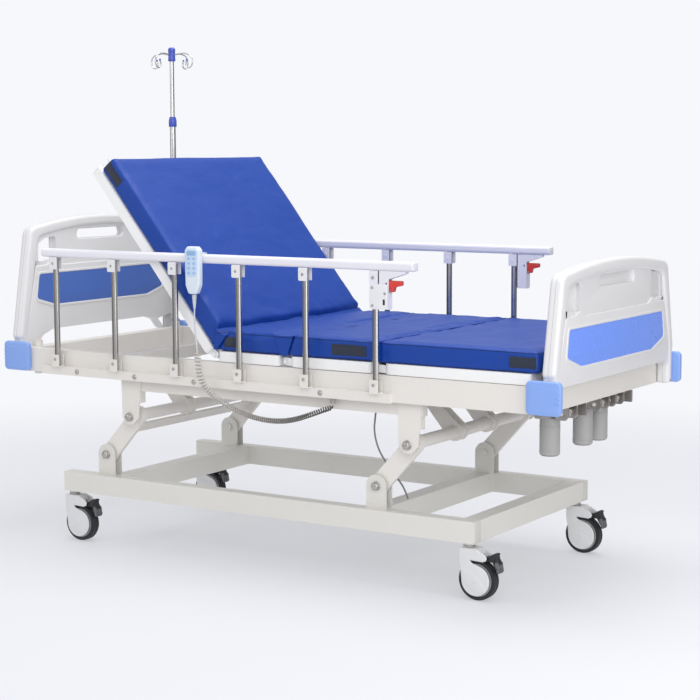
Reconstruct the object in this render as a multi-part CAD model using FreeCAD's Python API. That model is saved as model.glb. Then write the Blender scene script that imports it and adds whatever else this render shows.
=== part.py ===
"""Adjustable hospital bed: one STEP file per sub-part, in millimetres.

X runs along the bed from the head (-X) to the foot (+X), Y across it and Z up.
The origin is on the floor under the middle of the bed.
The lying surface is drawn with the back raised, and the bed near its full height.
"""

import FreeCAD, Part

import math
import os

V = FreeCAD.Vector
ALONG = V(1, 0, 0)
ACROSS = V(0, 1, 0)
UP = V(0, 0, 1)

# ---------------------------------------------------------------- driving dimensions
BEAM_OUT = 430.0  # outer face of the side beams, from the middle plane
BEAM_IN = 400.0
BEAM_LOW, BEAM_HIGH = 587.0, 668.0
CROSS_TUBES = (-560, -20, 240, 492, 800)
BEAM_END = 957.0  # where the side beams meet the corner bumpers
END_BEAM_IN, END_BEAM_OUT = 950.0, 1000.0
BOARD_OUT = 1045.0  # outer face of the head and foot boards
BUMPER_END, BUMPER_OUT, BUMPER_HIGH = 1070.0, 450.0, 689.0
WALL = 3.0

BASE_OUT, BASE_IN = 397.0, 352.0
BASE_LOW, BASE_HIGH = 174.0, 241.0
BASE_HEAD, BASE_FOOT = -852.0, 762.0

FOOT_LOWER, HEAD_LOWER, LOWER_Z = 404.0, -681.0, 311.0  # lower pivots of the lift arms
FOOT_UPPER, HEAD_UPPER, UPPER_Z = 535.0, -550.0, 455.0  # upper pivots
ARM_R = 30.0
ARM_IN, ARM_OUT = 344.0, 360.0
LOWER_PIN_R, UPPER_PIN_R = 10.0, 12.0
FIT = 0.05  # running clearance on a hinge pin, on the radius
LEVER_X, LEVER_Z = -102.5, 102.5  # lever tip from the upper pivot
LEVER_PIN_R = 6.0
LINK_Y, LIFT_Y, BACK_Y, THIGH_Y = -90.0, 117.0, 8.0, -222.0
SPINDLE_Z = 575.0
DRIVE_PIN_X, DRIVE_PIN_Z, DRIVE_PIN_R = 978.0, 566.0, 5.0  # rear pivot of each drive
MOTOR_X, MOTOR_R, MOTOR_LOW = 925.0, 31.0, 436.0

PAN_HALF, PAN_LOW, PAN_HIGH = 425.0, 670.0, 703.0
BACK_HINGE = V(-180, 0, 690)
BACK_LONG, BACK_ANGLE = 766.0, 51.2
BACK_MAX = 70.0
THIGH_HINGE = V(100, 0, 685)
KNEE_HINGE = V(442, 0, 685)
THIGH_MAX = 40.0
LEG_END = 960.0
BACK_LEVER, THIGH_LEVER = 128.0, 105.0
BACK_LEVER_FLAT, THIGH_LEVER_FLAT = 37.0, -20.0  # from straight down, towards the foot
PAD_HALF, PAD_HIGH, PAD_END = 429.0, 772.0, 992.0

RAIL_Y = 450.0
RAIL_FROM, RAIL_TO, RAIL_LOW, RAIL_HIGH = -871.0, 593.0, 987.0, 1016.0
RAIL_IN, RAIL_OUT = 436.0, 467.0
POSTS = [-821.0, -566.2, -311.4, -56.6, 198.2, 453.0]
POST_R, POST_LOW, POST_HIGH = 10.0, 620.0, 980.0
POST_FOOT_Z, POST_TOP_Z = 640.0, 966.0
RAIL_PIN_R = 4.0

WHEEL_R, WHEEL_HALF = 62.5, 16.0
STEMS = {"near_head": (-830, -368), "near_foot": (732, -368), "far_head": (-830, 368), "far_foot": (732, 368)}
TRAIL = 33.0
PADDLE = [
    (57, 121), (84, 122), (93, 104), (104, 88), (113, 89), (114, 112), (106, 134), (97, 149),
    (89, 149), (84, 137), (57, 136),
]
FLAP = [(96, 104), (105, 90), (112, 91), (113, 112), (106, 130), (96, 130)]

SOCKET_Y, SOCKET_HEAD = 384.0, -968.0
SOCKET_R, SOCKET_BORE = 15.0, 11.5
SOCKET_LOW, SOCKET_HIGH = 575.0, 690.0

SHOULDER_R, BOARD_EDGE_R, RECESS = 45.0, 6.0, 20.0


# ---------------------------------------------------------------- small tools
def box(x0, x1, y0, y1, z0, z1):
    return Part.makeBox(x1 - x0, y1 - y0, z1 - z0, V(x0, y0, z0))


def cyl(x, y, z, radius, long, along=UP):
    return Part.makeCylinder(radius, long, V(x, y, z), along)


def pipe(x, y, z, outer, inner, long, along=UP):
    return cyl(x, y, z, outer, long, along).cut(cyl(x, y, z, inner, long, along))


def outline(points):
    return Part.Face(Part.makePolygon(points + points[:1]))


def slab_xz(points, y0, y1):
    """A flat part drawn in X and Z, and as thick as y0 to y1."""
    return outline([V(x, y0, z) for x, z in points]).extrude(V(0, y1 - y0, 0))


def slab_yz(points, x0, x1):
    return outline([V(x0, y, z) for y, z in points]).extrude(V(x1 - x0, 0, 0))


def tangent_slab(a, ra, b, rb, y0, y1):
    """A plate round two circles in the XZ plane: a at radius ra and b at radius rb."""
    (ax, az), (bx, bz) = a, b
    gap = math.hypot(bx - ax, bz - az)
    lean = math.atan2(bz - az, bx - ax)
    turn = math.acos((ra - rb) / gap)
    edge = []
    for side in (1, -1):
        for x, z, r in ((ax, az, ra), (bx, bz, rb))[::side]:
            edge.append((x + r * math.cos(lean + side * turn), z + r * math.sin(lean + side * turn)))
    plate = slab_xz(edge, y0, y1)
    for x, z, r in ((ax, az, ra), (bx, bz, rb)):
        plate = plate.fuse(cyl(x, y0, z, r, y1 - y0, ACROSS))
    return plate.removeSplitter()


def beam_x(x0, x1, y0, y1, z0, z1):
    return box(x0, x1, y0, y1, z0, z1).cut(
        box(x0 + WALL, x1 - WALL, y0 + WALL, y1 - WALL, z0 + WALL, z1 - WALL)
    )


def beam_y(x0, x1, y0, y1, z0, z1):
    return box(x0, x1, y0, y1, z0, z1).cut(box(x0 + WALL, x1 - WALL, y0, y1, z0 + WALL, z1 - WALL))


def round_edges(shape, radius, along):
    """Fillets the straight edges that run along a direction."""
    chosen = []
    for edge in shape.Edges:
        if isinstance(edge.Curve, Part.Line) and abs(edge.tangentAt(edge.FirstParameter).dot(along)) > 0.999:
            chosen.append(edge)
    return shape.makeFillet(radius, chosen)


def soften(shape, radius):
    return shape.makeFillet(radius, shape.Edges)


def across(shape):
    """The same part on the other side of the bed."""
    return shape.mirror(V(0, 0, 0), ACROSS)


def both(solids):
    return solids + [across(s) for s in solids]


def hex_head(x, y, z, flats, long, along):
    """A bolt's head, its axis along Y."""
    r = flats / math.sqrt(3)
    corners = [math.radians(60 * k) for k in range(6)]
    points = [(x + r * math.cos(angle), z + r * math.sin(angle)) for angle in corners]
    return slab_xz(points, min(y, y + along * long), max(y, y + along * long))


def swept(points, radius):
    """A round tube through a list of points."""
    curve = Part.BSplineCurve()
    curve.interpolate([V(*p) for p in points])
    path = Part.Wire([curve.toShape()])
    ring = Part.Wire([Part.makeCircle(radius, V(*points[0]), curve.tangent(curve.FirstParameter)[0])])
    return path.makePipeShell([ring], True, True)


def save(node, solids):
    os.makedirs("parts", exist_ok=True)
    shape = solids[0] if len(solids) == 1 else Part.makeCompound(solids)
    shape.exportStep("parts/" + node + ".step")


# ---------------------------------------------------------------- base
def base_frame():
    """Side, cross and end tubes, the lower pivot brackets with their pins, and the castor stems."""
    solids = both([beam_x(BASE_HEAD, BASE_FOOT, BASE_IN, BASE_OUT, BASE_LOW, BASE_HIGH)])
    for x0, x1 in ((-667, -605), (365, 425), (BASE_FOOT - 55, BASE_FOOT)):
        solids.append(beam_y(x0, x1, -BASE_IN, BASE_IN, BASE_LOW, BASE_HIGH))
    for x in (FOOT_LOWER, HEAD_LOWER):
        for y0 in (333.0, 366.0):
            cheek = box(x - 36, x + 36, y0, y0 + 5, BASE_HIGH, LOWER_Z).fuse(
                cyl(x, y0, LOWER_Z, 36, 5, ACROSS)
            )
            cheek = cheek.removeSplitter().cut(cyl(x, y0, LOWER_Z, LOWER_PIN_R, 5, ACROSS))
            solids += both([cheek])
        pin = cyl(x, 328, LOWER_Z, LOWER_PIN_R, 48, ACROSS)
        pin = pin.fuse(hex_head(x, 371, LOWER_Z, 24, 9, 1)).fuse(hex_head(x, 333, LOWER_Z, 24, 8, -1))
        solids += both([pin.removeSplitter()])
    for x, y in STEMS.values():
        solids.append(cyl(x, y, BASE_LOW - 8, 17, 8).fuse(cyl(x, y, 128, 6, BASE_LOW - 136)).removeSplitter())
    save("base_frame", solids)


def castor(corner, x, y):
    """A swivel castor: fork, wheel with tyre, and brake pedal. The wheel trails towards the foot."""
    wx, top, pin_x, pin_z = x + TRAIL, 160.0, x + 62.0, 128.0
    side = tangent_slab((wx, WHEEL_R), 47, (x + 4, 128), 27, y - 26, y + 26)
    side = side.fuse(tangent_slab((x + 20, 122), 22, (pin_x, pin_z), 9, y - 26, y + 26))
    crown = box(x - 23, x + 45, y - 26, y + 26, 118, top)
    fork = side.fuse(crown).removeSplitter()
    fork = fork.cut(box(x - 60, x + 120, y - 40, y + 40, top, top + 60))
    fork = fork.cut(cyl(wx, y - WHEEL_HALF - 2, WHEEL_R, WHEEL_R + 3, 2 * WHEEL_HALF + 4, ACROSS))
    fork = fork.cut(box(pin_x - 14, pin_x + 60, y - 18, y + 18, 100, top + 1))
    fork = fork.cut(box(wx - 70, wx + 70, y - 18, y + 18, 0, WHEEL_R))
    fork = fork.cut(cyl(x, y, 118, 6 + FIT, 60))
    fork = fork.fuse(cyl(wx, y - 26, WHEEL_R, 6, 52, ACROSS))
    fork = fork.fuse(cyl(pin_x, y - 20, pin_z, 3, 40, ACROSS)).removeSplitter()
    save("castor_fork_" + corner, [fork])
    hub = pipe(wx, y - 14, WHEEL_R, 51, 6 + FIT, 28, ACROSS)
    tyre = pipe(wx, y - WHEEL_HALF, WHEEL_R, WHEEL_R, 51, 2 * WHEEL_HALF, ACROSS)
    rims = [e for e in tyre.Edges if e.Length > 2 * math.pi * (WHEEL_R - 1)]
    tyre = tyre.makeFillet(6, rims)
    save("castor_wheel_" + corner, [hub, tyre])
    paddle = slab_xz([(x + dx, z) for dx, z in PADDLE], y - 15, y + 15)
    flap = slab_xz([(x + dx, z) for dx, z in FLAP], y - 20, y + 20)
    eye = cyl(pin_x, y - 15, pin_z, 8, 30, ACROSS).fuse(paddle).fuse(flap).removeSplitter()
    save("castor_pedal_" + corner, [eye.cut(cyl(pin_x, y - 30, pin_z, 3 + FIT, 60, ACROSS))])


# ---------------------------------------------------------------- height mechanism
def lift_arms(lower_x, upper_x):
    """Two arms and the torque tube that joins them."""
    arm = tangent_slab((lower_x, LOWER_Z), ARM_R, (upper_x, UPPER_Z), ARM_R, ARM_IN, ARM_OUT)
    for x, z in ((lower_x, LOWER_Z), (upper_x, UPPER_Z)):
        arm = arm.fuse(cyl(x, ARM_IN - 4, z, ARM_R - 6, ARM_OUT - ARM_IN + 8, ACROSS))
    arm = arm.cut(cyl(lower_x, ARM_IN - 10, LOWER_Z, LOWER_PIN_R + FIT, 40, ACROSS))
    arm = arm.cut(cyl(upper_x, ARM_IN - 10, UPPER_Z, UPPER_PIN_R + FIT, 40, ACROSS))
    tube = pipe(upper_x, -ARM_IN + 4, UPPER_Z, 20, 16, 2 * ARM_IN - 8, ACROSS)
    return both([arm]) + [tube]


def lever(upper_x, y):
    """A forked lever on the torque tube, with the pin at its tip."""
    tip = (upper_x + LEVER_X, UPPER_Z + LEVER_Z)
    root = (upper_x, UPPER_Z)
    solids = []
    for y0 in (y - 21, y + 13):
        plate = tangent_slab(root, 29, tip, 17, y0, y0 + 8)
        plate = plate.cut(cyl(upper_x, y0, UPPER_Z, 20, 8, ACROSS))
        solids.append(plate.cut(cyl(tip[0], y0, tip[1], LEVER_PIN_R, 8, ACROSS)))
    solids.append(cyl(tip[0], y - 21, tip[1], LEVER_PIN_R, 42, ACROSS))
    solids.append(pipe(upper_x, y - 13, UPPER_Z, 24, 20, 26, ACROSS))
    return solids


def lift_frames():
    levers = lever(FOOT_UPPER, LINK_Y) + lever(FOOT_UPPER, LIFT_Y)
    save("foot_lift_frame", lift_arms(FOOT_LOWER, FOOT_UPPER) + levers)
    down = V(HEAD_LOWER - HEAD_UPPER, 0, LOWER_Z - UPPER_Z).normalize()
    middle = V(HEAD_UPPER, 0, UPPER_Z) + down * 72
    brace = box(-20, 20, -ARM_IN, ARM_IN, -4, 4)
    brace.rotate(V(0, 0, 0), ACROSS, -math.degrees(math.atan2(down.z, down.x)))
    brace.translate(middle)
    save("head_lift_frame", lift_arms(HEAD_LOWER, HEAD_UPPER) + lever(HEAD_UPPER, LINK_Y) + [brace])
    fx, hx, z = FOOT_UPPER + LEVER_X, HEAD_UPPER + LEVER_X, UPPER_Z + LEVER_Z
    rod = cyl(hx + 10, LINK_Y, z, 8, fx - hx - 20, ALONG)
    for x in (fx, hx):
        rod = rod.fuse(cyl(x, LINK_Y - 11, z, 15, 22, ACROSS))
    rod = rod.removeSplitter().cut(cyl(fx, LINK_Y - 20, z, LEVER_PIN_R + FIT, 40, ACROSS))
    save("lift_link", [rod.cut(cyl(hx, LINK_Y - 20, z, LEVER_PIN_R + 2, 40, ACROSS))])


def actuator(y, z, from_x, to_x):
    """Gearbox with a hanging motor and a long outer tube that runs towards the head."""
    gearbox = soften(box(MOTOR_X - 39, MOTOR_X + 17, y - MOTOR_R, y + MOTOR_R, z - 30, z + 25), 5)
    tang = box(MOTOR_X + 10, DRIVE_PIN_X + 12, y - 11, y + 11, DRIVE_PIN_Z - 10, DRIVE_PIN_Z + 11)
    motor = cyl(MOTOR_X, y, MOTOR_LOW, MOTOR_R, z - 26 - MOTOR_LOW)
    motor = motor.makeFillet(4, [e for e in motor.Edges if e.BoundBox.ZMax < MOTOR_LOW + 1])
    tube = pipe(to_x, y, z, 19, 14, from_x - to_x, ALONG)
    tang = tang.cut(cyl(DRIVE_PIN_X, y - 20, DRIVE_PIN_Z, DRIVE_PIN_R + FIT, 40, ACROSS))
    return gearbox.fuse(tang).fuse(motor).fuse(tube).removeSplitter()


def slotted_rod(from_x, pin_x, y, slot_low, slot_high, slot_half=10.0):
    """A push rod whose end holds the lever's pin in an upright slot."""
    rod = cyl(pin_x + slot_half + 4, y, SPINDLE_Z, 11, from_x - pin_x - slot_half - 4, ALONG)
    half = slot_half + 9
    end = soften(box(pin_x - half, pin_x + half, y - 11, y + 11, slot_low - 9, slot_high + 9), 3)
    slot = box(pin_x - slot_half, pin_x + slot_half, y - 12, y + 12, slot_low, slot_high)
    return rod.fuse(end).removeSplitter().cut(slot)


def actuators():
    """The back and thigh drives are fixed, and the height drive swings a little with its lever."""
    save("back_actuator", [actuator(BACK_Y, SPINDLE_Z, 895, 300)])
    save("thigh_actuator", [actuator(THIGH_Y, SPINDLE_Z, 895, 420)])
    save("lift_actuator", [actuator(LIFT_Y, SPINDLE_Z, 895, 640)])
    save("back_push_rod", [slotted_rod(470, back_pin().x, BACK_Y, 552, 600)])
    save("thigh_push_rod", [slotted_rod(560, thigh_pin().x, THIGH_Y, 570, 596)])
    tip_x, tip_z = FOOT_UPPER + LEVER_X, UPPER_Z + LEVER_Z
    save("lift_push_rod", [slotted_rod(760, tip_x, LIFT_Y, tip_z - 17, tip_z + 17, 12.5)])


# ---------------------------------------------------------------- upper frame
def bed_frame():
    """Welded steel: beams, cross tubes, sub-rails, hangers with pins, drive brackets and pole sockets."""
    solids = []
    for x0, x1 in ((-END_BEAM_OUT, -END_BEAM_IN), (END_BEAM_IN, END_BEAM_OUT)):
        tube = beam_y(x0, x1, -BEAM_IN, BEAM_IN, BEAM_LOW, BEAM_HIGH)
        for y in (-SOCKET_Y, SOCKET_Y):
            tube = tube.cut(cyl(SOCKET_HEAD, y, BEAM_LOW, SOCKET_R, 90))
        solids.append(tube)
    solids += both([pipe(SOCKET_HEAD, SOCKET_Y, SOCKET_LOW, SOCKET_R, SOCKET_BORE, SOCKET_HIGH - SOCKET_LOW)])
    solids += both([beam_x(-END_BEAM_OUT, END_BEAM_OUT, BEAM_IN, BEAM_OUT, BEAM_LOW, BEAM_HIGH)])
    for x in CROSS_TUBES:
        solids.append(beam_y(x - 20, x + 20, -BEAM_IN, BEAM_IN, 625, 665))
    solids += both([beam_x(-571, 585, 366, 396, 545, 587)])
    for x in (FOOT_UPPER, HEAD_UPPER):
        shape = [(-34, 587), (-31, 452), (-12, 430), (14, 430), (36, 452), (50, 587)]
        web = slab_xz([(x + dx, z) for dx, z in shape], 396, 402)
        pin = cyl(x, 342, UPPER_Z, UPPER_PIN_R, 61, ACROSS).fuse(hex_head(x, 402, UPPER_Z, 24, 9, 1))
        web = web.cut(cyl(x, 396, UPPER_Z, UPPER_PIN_R, 6, ACROSS))
        flanges = [box(x - 33, x - 28, 372, 396, 505, 545), box(x + 40, x + 45, 372, 396, 505, 545)]
        solids += both([web, pin.removeSplitter()] + flanges)
    for y in (BACK_Y, THIGH_Y, LIFT_Y):
        for y0 in (y - 33, y + 28):
            shape = [(955, 587), (955, 560), (965, 548), (991, 548), (1000, 558), (1000, 587)]
            cheek = slab_xz(shape, y0, y0 + 5)
            solids.append(cheek.cut(cyl(DRIVE_PIN_X, y0, DRIVE_PIN_Z, DRIVE_PIN_R, 5, ACROSS)))
        solids.append(cyl(DRIVE_PIN_X, y - 36, DRIVE_PIN_Z, DRIVE_PIN_R, 72, ACROSS))
    for y in (-128, 206):
        solids.append(slab_xz([(955, 587), (965, 548), (1000, 548), (1000, 587)], y, y + 5))
    save("bed_frame", solids)


def corner_bumpers():
    solids = []
    for side in (1, -1):
        x0, x1 = sorted((side * BEAM_END, side * BUMPER_END))
        body = round_edges(box(x0, x1, BEAM_OUT, BUMPER_OUT, 588, BUMPER_HIGH), 16, ACROSS)
        body = body.makeFillet(5, [e for e in body.Edges if abs(e.BoundBox.YMin - BUMPER_OUT) < 0.01])
        solids += both([body])
    save("corner_bumpers", solids)


def mirrored(points):
    return [(-y, z) for y, z in points[::-1]]


def board(side, edge, crown, arch):
    """A moulded end board: straight sides that lean in, a curved top and an arch below."""
    x0, x1 = sorted((side * END_BEAM_OUT, side * BOARD_OUT))
    right = [(398, 587), (430, 587), (430, 694), (437, 704)] + edge
    below = mirrored(right) + [(-y, z) for y, z in arch] + arch[::-1] + right
    start, end = V(x0, *right[-1]), V(x0, *mirrored(right)[0])
    top = Part.Arc(start, V(x0, 0, crown), end).toShape()
    rest = Part.makePolygon([V(x0, y, z) for y, z in below])
    shape = Part.Face(Part.Wire([top] + rest.Edges)).extrude(V(x1 - x0, 0, 0))
    upright = [e for e in shape.Edges if e.BoundBox.XLength > 40]
    shoulders = [e for e in upright if e.BoundBox.ZMin > right[-1][1] - 1]
    shape = shape.makeFillet(SHOULDER_R, shoulders)
    upright = [e for e in shape.Edges if e.BoundBox.XLength > 40 and e.BoundBox.ZMin < 720]
    shape = shape.makeFillet(9, upright)
    rims = [e for e in shape.Edges if e.BoundBox.XLength < 0.01]
    return shape.makeFillet(BOARD_EDGE_R, rims)


def hole(shape, side, points, depth_from, depth_to, corner_r=14):
    """Cuts a rounded opening, from one depth to another behind the board's inner face."""
    x0, x1 = sorted((side * (END_BEAM_OUT + depth_from), side * (END_BEAM_OUT + depth_to)))
    return shape.cut(round_edges(slab_yz(points, x0, x1), corner_r, ALONG))


def hexagon(top, z_top, side, z_side, low, z_low):
    right = [(low, z_low), (side, z_side), (top, z_top)]
    return right + [(-y, z) for y, z in right[::-1]]


def boards():
    """The two end boards, and the coloured panels let into both faces of each."""
    depth = BOARD_OUT - END_BEAM_OUT
    foot = board(1, [(384, 988)], 1020, [(398, 640), (372, 663)])
    recess = [(262, 862), (384, 876), (366, 948), (310, 972), (262, 976)]
    for points in (recess, mirrored(recess)):
        foot = hole(foot, 1, points, -5, RECESS)
        foot = hole(foot, 1, points, depth - RECESS, depth + 5)
    head = board(-1, [(372, 1078)], 1113, [(398, 640), (348, 668), (318, 700), (262, 718)])
    opening = [(236, 948), (358, 956), (344, 1026), (300, 1050), (236, 1060)]
    slot = [(-135, 1030), (135, 1030), (122, 1066), (-122, 1066)]
    for points in (opening, mirrored(opening), slot):
        head = hole(head, -1, points, -5, depth + 5)
    insets = []
    foot_inset, head_inset = hexagon(340, 828, 354, 747, 257, 714), hexagon(334, 915, 348, 830, 254, 804)
    for side, shape in ((1, foot_inset), (-1, head_inset)):
        for face in (END_BEAM_OUT, BOARD_OUT):
            depth = 3 if face == END_BEAM_OUT else -3
            x0, x1 = sorted((side * face, side * (face + depth)))
            panel = slab_yz(shape, x0, x1)
            insets.append(panel)
            if side == 1:
                foot = foot.cut(panel)
            else:
                head = head.cut(panel)
    save("footboard", [foot])
    save("headboard", [head])
    save("board_insets", insets)


def control_box():
    """The drive's electronics, in a case hung under the cross tubes, with the handset's socket."""
    case = soften(box(270, 468, -350, -128, 603, 660), 6)
    socket = pipe(275, -414, 566, 9, 3, 21)
    save("control_box", [case, socket])


# ---------------------------------------------------------------- lying surface
def pan(x0, x1):
    """A pressed section with a turned-down skirt."""
    outer = round_edges(box(x0, x1, -PAN_HALF, PAN_HALF, PAN_LOW, PAN_HIGH), 14, UP)
    inner = box(x0 + WALL, x1 - WALL, -PAN_HALF + WALL, PAN_HALF - WALL, PAN_LOW, PAN_HIGH - WALL)
    return outer.cut(round_edges(inner, 11, UP))


def ears(hinge, reach, y_ranges, bore):
    """Hinge ears on both sides, from under a pan to the hinge line."""
    solids = []
    for y0, y1 in y_ranges:
        ear = tangent_slab((hinge.x + reach, 683), 12, (hinge.x, hinge.z), 12, y0, y1)
        solids += both([ear.cut(cyl(hinge.x, y0, hinge.z, bore, y1 - y0, ACROSS))])
    return solids


def hinge_pins(hinge):
    return both([cyl(hinge.x, 388, hinge.z, 5, 32, ACROSS)])


def pad(points):
    return round_edges(slab_xz(points, -PAD_HALF, PAD_HALF), 4, ACROSS)


def raised(shape):
    return shape.rotated(BACK_HINGE, ACROSS, BACK_ANGLE)


def lever_pin(hinge, long, degrees):
    a = math.radians(degrees)
    return V(hinge.x + long * math.sin(a), 0, hinge.z - long * math.cos(a))


def back_pin():
    """The back lever's pin with the back raised."""
    return lever_pin(BACK_HINGE, BACK_LEVER, BACK_LEVER_FLAT - BACK_ANGLE)


def thigh_pin():
    return lever_pin(THIGH_HINGE, THIGH_LEVER, THIGH_LEVER_FLAT)


def pan_lever(root_x, pin, y):
    solids = []
    for y0 in (y - 21, y + 13):
        plate = tangent_slab((root_x, 684), 15, (pin.x, pin.z), 15, y0, y0 + 8)
        solids.append(plate.cut(cyl(pin.x, y0, pin.z, LEVER_PIN_R, 8, ACROSS)))
    solids.append(cyl(pin.x, y - 21, pin.z, LEVER_PIN_R, 42, ACROSS))
    return solids


def lying_surface():
    outer, inner = (406, 412), (395, 401)
    back = [pan(BACK_HINGE.x - BACK_LONG, BACK_HINGE.x - 16)] + ears(BACK_HINGE, -30, [outer], 5 + FIT)
    back += pan_lever(BACK_HINGE.x - 34, lever_pin(BACK_HINGE, BACK_LEVER, BACK_LEVER_FLAT), BACK_Y)
    save("back_platform", [raised(s) for s in back])
    seat = [pan(-161, 78)] + ears(BACK_HINGE, 32, [inner], 5) + hinge_pins(BACK_HINGE)
    seat += ears(THIGH_HINGE, -34, [inner], 5) + hinge_pins(THIGH_HINGE)
    seat.append(box(-35, -5, -380, 380, 665, PAN_HIGH - WALL))
    seat += both([box(x, x + 30, 403, 419, BEAM_HIGH, PAN_HIGH - WALL) for x in (-145, 38)])
    save("seat_platform", seat)
    thigh = [pan(123, 416)] + ears(THIGH_HINGE, 36, [outer], 5 + FIT) + pan_lever(140, thigh_pin(), THIGH_Y)
    thigh += ears(KNEE_HINGE, -38, [inner], 5) + hinge_pins(KNEE_HINGE)
    save("thigh_platform", thigh)
    save("leg_platform", [pan(468, LEG_END)] + ears(KNEE_HINGE, 38, [outer], 5 + FIT))


def mattress():
    """Four foam sections. Where the surface folds upwards their ends lean apart, so they never meet."""
    back_lean = math.tan(math.radians(BACK_MAX / 2))
    thigh_lean = math.tan(math.radians(THIGH_MAX / 2))
    b_low, b_high = (PAN_HIGH - BACK_HINGE.z) * back_lean + 1, (PAD_HIGH - BACK_HINGE.z) * back_lean + 1
    t_low, t_high = (PAN_HIGH - THIGH_HINGE.z) * thigh_lean + 1, (PAD_HIGH - THIGH_HINGE.z) * thigh_lean + 1
    bx, tx, kx = BACK_HINGE.x, THIGH_HINGE.x, KNEE_HINGE.x
    low, high = PAN_HIGH, PAD_HIGH
    end = bx - BACK_LONG + 8
    save("back_mattress", [raised(pad([(end, low), (bx - b_low, low), (bx - b_high, high), (end, high)]))])
    seat = [(bx + b_low, low), (tx - t_low, low), (tx - t_high, high), (bx + b_high, high)]
    save("seat_mattress", [pad(seat)])
    thigh = [(tx + t_low, low), (kx - 0.5, low), (kx - 0.5, high), (tx + t_high, high)]
    save("thigh_mattress", [pad(thigh)])
    save("leg_mattress", [pad([(kx + 0.5, low), (PAD_END, low), (PAD_END, high), (kx + 0.5, high)])])


# ---------------------------------------------------------------- side guards
def rail_channels():
    """Channels on the side beams, with a clevis and a pin for each post."""
    one = [beam_x(-900, 499, BEAM_OUT, 444, 585, 614)]
    for x in POSTS:
        one.append(box(x - 15, x + 15, 436, 464, 614, 617))
        for y0 in (436, 461):
            cheek = box(x - 15, x + 15, y0, y0 + 3, 617, 655)
            one.append(cheek.cut(cyl(x, y0, POST_FOOT_Z, RAIL_PIN_R, 3, ACROSS)))
        one.append(cyl(x, 434, POST_FOOT_Z, RAIL_PIN_R, 32, ACROSS))
    save("rail_channels", both(one))


def frame_screws():
    """The screws that hold the rail channels to the side beams."""
    save("frame_screws", both([cyl(x, 444, 599, 7, 4, ACROSS) for x in (-742, -492, -245, 246)]))


def guard_post(side, number, x):
    post = pipe(x, RAIL_Y, POST_LOW, POST_R, POST_R - 1.5, POST_HIGH - POST_LOW)
    for z in (POST_FOOT_Z, POST_TOP_Z):
        bush = cyl(x, RAIL_Y - POST_R + 1, z, 7, 2 * POST_R - 2, ACROSS)
        post = post.fuse(bush.common(cyl(x, RAIL_Y, POST_LOW, POST_R, POST_HIGH - POST_LOW)))
        post = post.cut(cyl(x, RAIL_Y - 15, z, RAIL_PIN_R + FIT, 30, ACROSS))
    save(side + "_post_" + str(number), [post if side == "far" else across(post)])


def top_rail(side):
    """The hand rail with its post brackets, pins and the latch housing at the foot end."""
    rail = round_edges(box(RAIL_FROM, RAIL_TO, RAIL_IN, RAIL_OUT, RAIL_LOW, RAIL_HIGH), 10, ALONG)
    rail = rail.makeFillet(6, [e for e in rail.Edges if e.BoundBox.XLength < 0.01])
    bore = box(RAIL_FROM + 14, RAIL_TO - 14, RAIL_IN + 3, RAIL_OUT - 3, RAIL_LOW + 11, RAIL_HIGH - 11)
    rail = rail.cut(bore)
    solids = [rail]
    for x in POSTS:
        for y0 in (436, 461):
            cheek = box(x - 15, x + 15, y0, y0 + 3, 947, RAIL_LOW)
            solids.append(cheek.cut(cyl(x, y0, POST_TOP_Z, RAIL_PIN_R, 3, ACROSS)))
        solids.append(cyl(x, 434, POST_TOP_Z, RAIL_PIN_R, 32, ACROSS))
    housing = box(472, 505, 439, 461, 871, 976)
    housing = housing.cut(box(484, 506, 444.5, 458.5, 920, 972))
    cover = round_edges(box(441, 505, 461, 467, 871, 947), 6, ACROSS)
    wing = slab_xz([(472, 976), (505, 962), (562, 980), (562, RAIL_LOW), (472, RAIL_LOW)], 439, 461)
    pin = cyl(497, 439, 949, 3, 22, ACROSS)
    solids += [housing.fuse(wing).removeSplitter(), cover, pin]
    save(side + "_top_rail", solids if side == "far" else [across(s) for s in solids])
    shape = [(490, 943), (506, 939), (512, 925), (520, 925), (523, 939), (548, 945), (548, 957), (490, 957)]
    grip = slab_xz(shape, 445, 458)
    grip = grip.cut(cyl(497, 440, 949, 3 + FIT, 30, ACROSS))
    save(side + "_latch_lever", [grip if side == "far" else across(grip)])


def side_guards():
    rail_channels()
    frame_screws()
    for side in ("near", "far"):
        top_rail(side)
        for number, x in enumerate(POSTS, 1):
            guard_post(side, number, x)


# ---------------------------------------------------------------- accessories
HOOK = [
    (8, 1698), (40, 1704), (70, 1700), (92, 1686), (98, 1668), (88, 1652), (72, 1652), (64, 1664), (70, 1676),
]


def iv_pole():
    """The pole's lower tube stands in the far head socket, and the upper tube slides in it."""
    x, y = SOCKET_HEAD, SOCKET_Y
    lower = pipe(x, y, 580, 11, 8.5, 868)
    collar = pipe(x, y, SOCKET_HIGH, 15, 11, 10)
    ferrule = pipe(x, y, 1429, 15, 8.5, 38).cut(cyl(x, y, 1420, 11, 28))
    save("iv_pole_lower", [lower.fuse(collar).fuse(ferrule).removeSplitter()])
    upper = cyl(x, y, 900, 8, 780).fuse(cyl(x, y, 1676, 14, 50))
    upper = upper.makeFillet(5, [e for e in upper.Edges if e.BoundBox.ZMin > 1725])
    hooks = []
    for degrees in (0, 90, 180, 270):
        c, s = math.cos(math.radians(degrees)), math.sin(math.radians(degrees))
        hooks.append(swept([(x + r * c, y + r * s, z) for r, z in HOOK], 2.5))
    save("iv_pole_upper", [upper] + hooks)


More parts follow.
